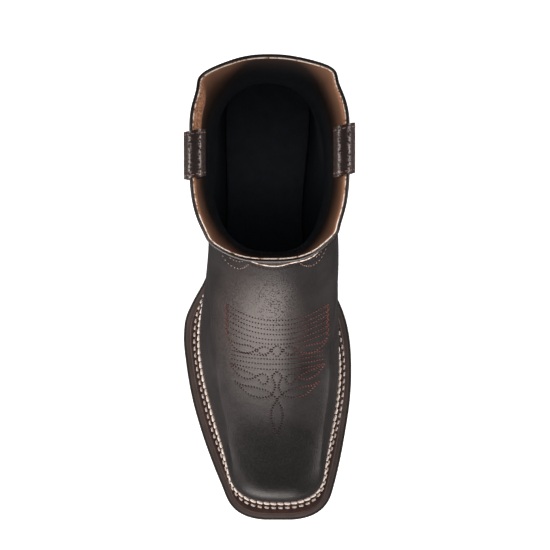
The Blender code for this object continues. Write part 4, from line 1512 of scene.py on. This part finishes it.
def make_stage():
    """Paper floor, soft lights at the sides and the toe, and a dim room above."""
    deselect()
    bpy.ops.mesh.primitive_plane_add(size=FLOOR_SIZE, location=(0.0, 0.0, 0.0))
    floor = bpy.context.object
    floor.name = "paper_floor"
    floor.data.materials.append(studio_paper())
    floor.visible_glossy = False
    for softbox in SOFTBOXES:
        area_light(*softbox)
    for place in SHAFT_LIGHTS:
        shaft_light(place)
    world = bpy.data.worlds.new("studio")
    world.use_nodes = True
    background = world.node_tree.nodes["Background"]
    background.inputs["Color"].default_value = colour("#ffffff")
    background.inputs["Strength"].default_value = ROOM_LIGHT
    bpy.context.scene.world = world
    bpy.context.scene.view_settings.view_transform = "Standard"
    return floor


def tint(name, description, code):
    """Colour property from a hex code."""
    return bpy.props.FloatVectorProperty(
        name=name, description=description, subtype="COLOR", size=3, min=0.0, max=1.0, default=linear(code)
    )


def span(name, description, millimetres):
    """Size property from millimetres."""
    return bpy.props.FloatProperty(
        name=name, description=description, unit="LENGTH", min=0.0, precision=4, default=millimetres * MM
    )


class BootColours(bpy.types.PropertyGroup):
    """Colours of the boot's materials."""

    leather: tint("Leather", "Oiled cowhide of vamp and shaft", "#232021")
    leather_mottle: tint("Pulled leather", "The hide where it is stretched over the last", "#302c2d")
    # Painted shade on the toe box
    leather_toe_shade: tint("Waxed leather", "The hide on the toe box, where the wax stays dark", "#1a1819")
    # Painted highlight on the instep
    leather_highlight: tint("Worn leather", "The hide where the instep has drawn its wax", "#504845")
    lining: tint("Lining", "Suede lining of the shaft", "#ba8b6f")
    lining_shade: tint("Lining shade", "The lining where its nap lies down", "#835c43")
    binding: tint("Binding", "Collar band and side piping", "#1b1615")
    edge: tint("Cut edge", "Undyed edge of the lining and of the vamp", "#fbeee2")
    edge_shade: tint("Cut edge shade", "Dye that has run into the cut edges", "#c89f86")
    edge_dyed: tint("Dyed cut edge", "Cut edges that the dye has covered", "#5a3a2c")
    welt: tint("Welt", "Edge-dyed welt leather", "#2a1612")
    outsole: tint("Outsole", "Rubber of the outsole", "#483d39")
    strap: tint("Strap", "Pull strap leather", "#261b19")
    # Painted highlight where the strap bends
    strap_highlight: tint("Rubbed strap", "Pull strap leather where it bends", "#c0b2ae")
    cream: tint("Cream thread", "Inner thread of the welt", "#fff3ea")
    grey: tint("Grey thread", "Outer thread of the welt", "#d6cbc4")
    russet: tint("Russet thread", "Thread of the toe stitching at its ends", "#7f5047")
    # Painted shade on the thread across the toe's middle
    russet_shaded: tint("Oiled russet thread", "Thread of the toe stitching in the middle", "#2e1516")
    tan: tint("Tan thread", "Thread of the loops under the vamp's edge", "#bd9f8c")
    pink: tint("Pink thread", "Thread of the straps", "#a3807a")


class BootSizes(bpy.types.PropertyGroup):
    """Sizes of the boot's fine details."""

    fold_depth: span("Fold depth", "Depth of the deepest fold in the leather", 2.3)
    lining_slack: span("Lining slack", "How far the loose lining stands in at the back", 3.8)
    cut_edge: span("Cut edge", "Thickness of the vamp's cut edge", 0.8)
    strap_thickness: span("Strap thickness", "Thickness of the pull straps", 2.0)
    welt_thread: span("Welt thread", "Thickness of the inner thread of the welt", 2.15)
    thread: span("Upper thread", "Thickness of the thread in the toe's rows", 0.85)


def looks():
    """The scene's colours."""
    return bpy.context.scene.boot_colours


class BOOT_OT_camera(bpy.types.Operator):
    """Set the photograph's camera"""

    bl_idname = "boot.camera"
    bl_label = "Camera"

    def execute(self, context):
        set_camera()
        return {"FINISHED"}


class BOOT_OT_upper(bpy.types.Operator):
    """Make the upper with its collar band, lining and cut edges"""

    bl_idname = "boot.upper"
    bl_label = "Upper"

    def execute(self, context):
        tints = looks()
        leather = oiled_leather(tints)
        binding = dressed_leather("waxed_binding", tints.binding, "#241d1b", 0.3)
        make_upper(leather, binding, suede_lining(tints))
        make_edges(raw_edge(tints))
        return {"FINISHED"}


class BOOT_OT_sole(bpy.types.Operator):
    """Make the outsole, welt, heel and insole"""

    bl_idname = "boot.sole"
    bl_label = "Sole and heel"

    def execute(self, context):
        tints = looks()
        rubber = moulded_rubber("sole_rubber", tints.outsole, "#564a46", 0.58)
        # Painted shade: the outsole's edge rows are near-black
        edge = moulded_rubber("outsole_edge_shade", "#0d0b0a", "#171413", 0.7)
        make_outsole(rubber, edge, moulded_rubber("tread_rubber", "#2c2724", "#3d3733", 0.7))
        make_welt(dressed_leather("welt_cowhide", tints.welt, "#3d241d", 0.5))
        make_heel(stacked_leather(), moulded_rubber("heel_rubber", "#141211", "#262220", 0.72))
        # Painted shade: the insole is coloured bluish near-black, like the foot of the lining
        make_insole(dressed_leather("insole_board", "#282b31", "#2d3138", 0.75))
        return {"FINISHED"}


class BOOT_OT_straps(bpy.types.Operator):
    """Make the pull straps"""

    bl_idname = "boot.straps"
    bl_label = "Pull straps"

    def execute(self, context):
        make_straps(strap_leather(looks()))
        return {"FINISHED"}


class BOOT_OT_stitching(bpy.types.Operator):
    """Sew the toe, the vamp, the welt and the straps"""

    bl_idname = "boot.stitching"
    bl_label = "Stitching"

    def execute(self, context):
        tints = looks()
        upper = bpy.data.objects["upper_leather"]
        cream = waxed_thread("cream_thread", tints.cream, "#e0cfc2")
        grey = waxed_thread("grey_thread", tints.grey, "#9f928b")
        make_toe_stitching(upper, shaded_russet_thread(tints))
        make_vamp_loops(upper, waxed_thread("tan_thread", tints.tan, "#80665a"))
        make_welt_stitches((cream, grey))
        make_strap_stitches(waxed_thread("pink_thread", tints.pink, "#6d4a40"))
        make_seam_stitches(waxed_thread("brown_thread", "#2c1f1b", "#17100e"))
        return {"FINISHED"}


class BOOT_OT_stage(bpy.types.Operator):
    """Set up the paper floor and the studio lights"""

    bl_idname = "boot.stage"
    bl_label = "Stage"

    def execute(self, context):
        make_stage()
        return {"FINISHED"}


class BOOT_PT_sidebar(bpy.types.Panel):
    """Colours of the boot and the steps that make it"""

    bl_idname = "BOOT_PT_sidebar"
    bl_label = "Western boot"
    bl_space_type = "VIEW_3D"
    bl_region_type = "UI"
    bl_category = "Western boot"

    def draw(self, context):
        for group in (context.scene.boot_colours, context.scene.boot_sizes):
            for name in group.__annotations__:
                self.layout.prop(group, name)
        for step in STEPS:
            self.layout.operator(step.bl_idname)


STEPS = (BOOT_OT_camera, BOOT_OT_upper, BOOT_OT_sole, BOOT_OT_straps, BOOT_OT_stitching, BOOT_OT_stage)
CLASSES = (BootColours, BootSizes, *STEPS, BOOT_PT_sidebar)


def register():
    """Register the classes and the scene's settings."""
    for kind in CLASSES:
        bpy.utils.register_class(kind)
    bpy.types.Scene.boot_colours = bpy.props.PointerProperty(type=BootColours)
    bpy.types.Scene.boot_sizes = bpy.props.PointerProperty(type=BootSizes)


def unregister():
    """Remove the scene's settings and the classes."""
    del bpy.types.Scene.boot_sizes
    del bpy.types.Scene.boot_colours
    for kind in reversed(CLASSES):
        bpy.utils.unregister_class(kind)


def main():
    """Make every piece in order."""
    register()
    bpy.ops.boot.camera()
    bpy.ops.boot.upper()
    bpy.ops.boot.sole()
    bpy.ops.boot.straps()
    bpy.ops.boot.stitching()
    bpy.ops.boot.stage()
    deselect()


if __name__ == "__main__":
    main()
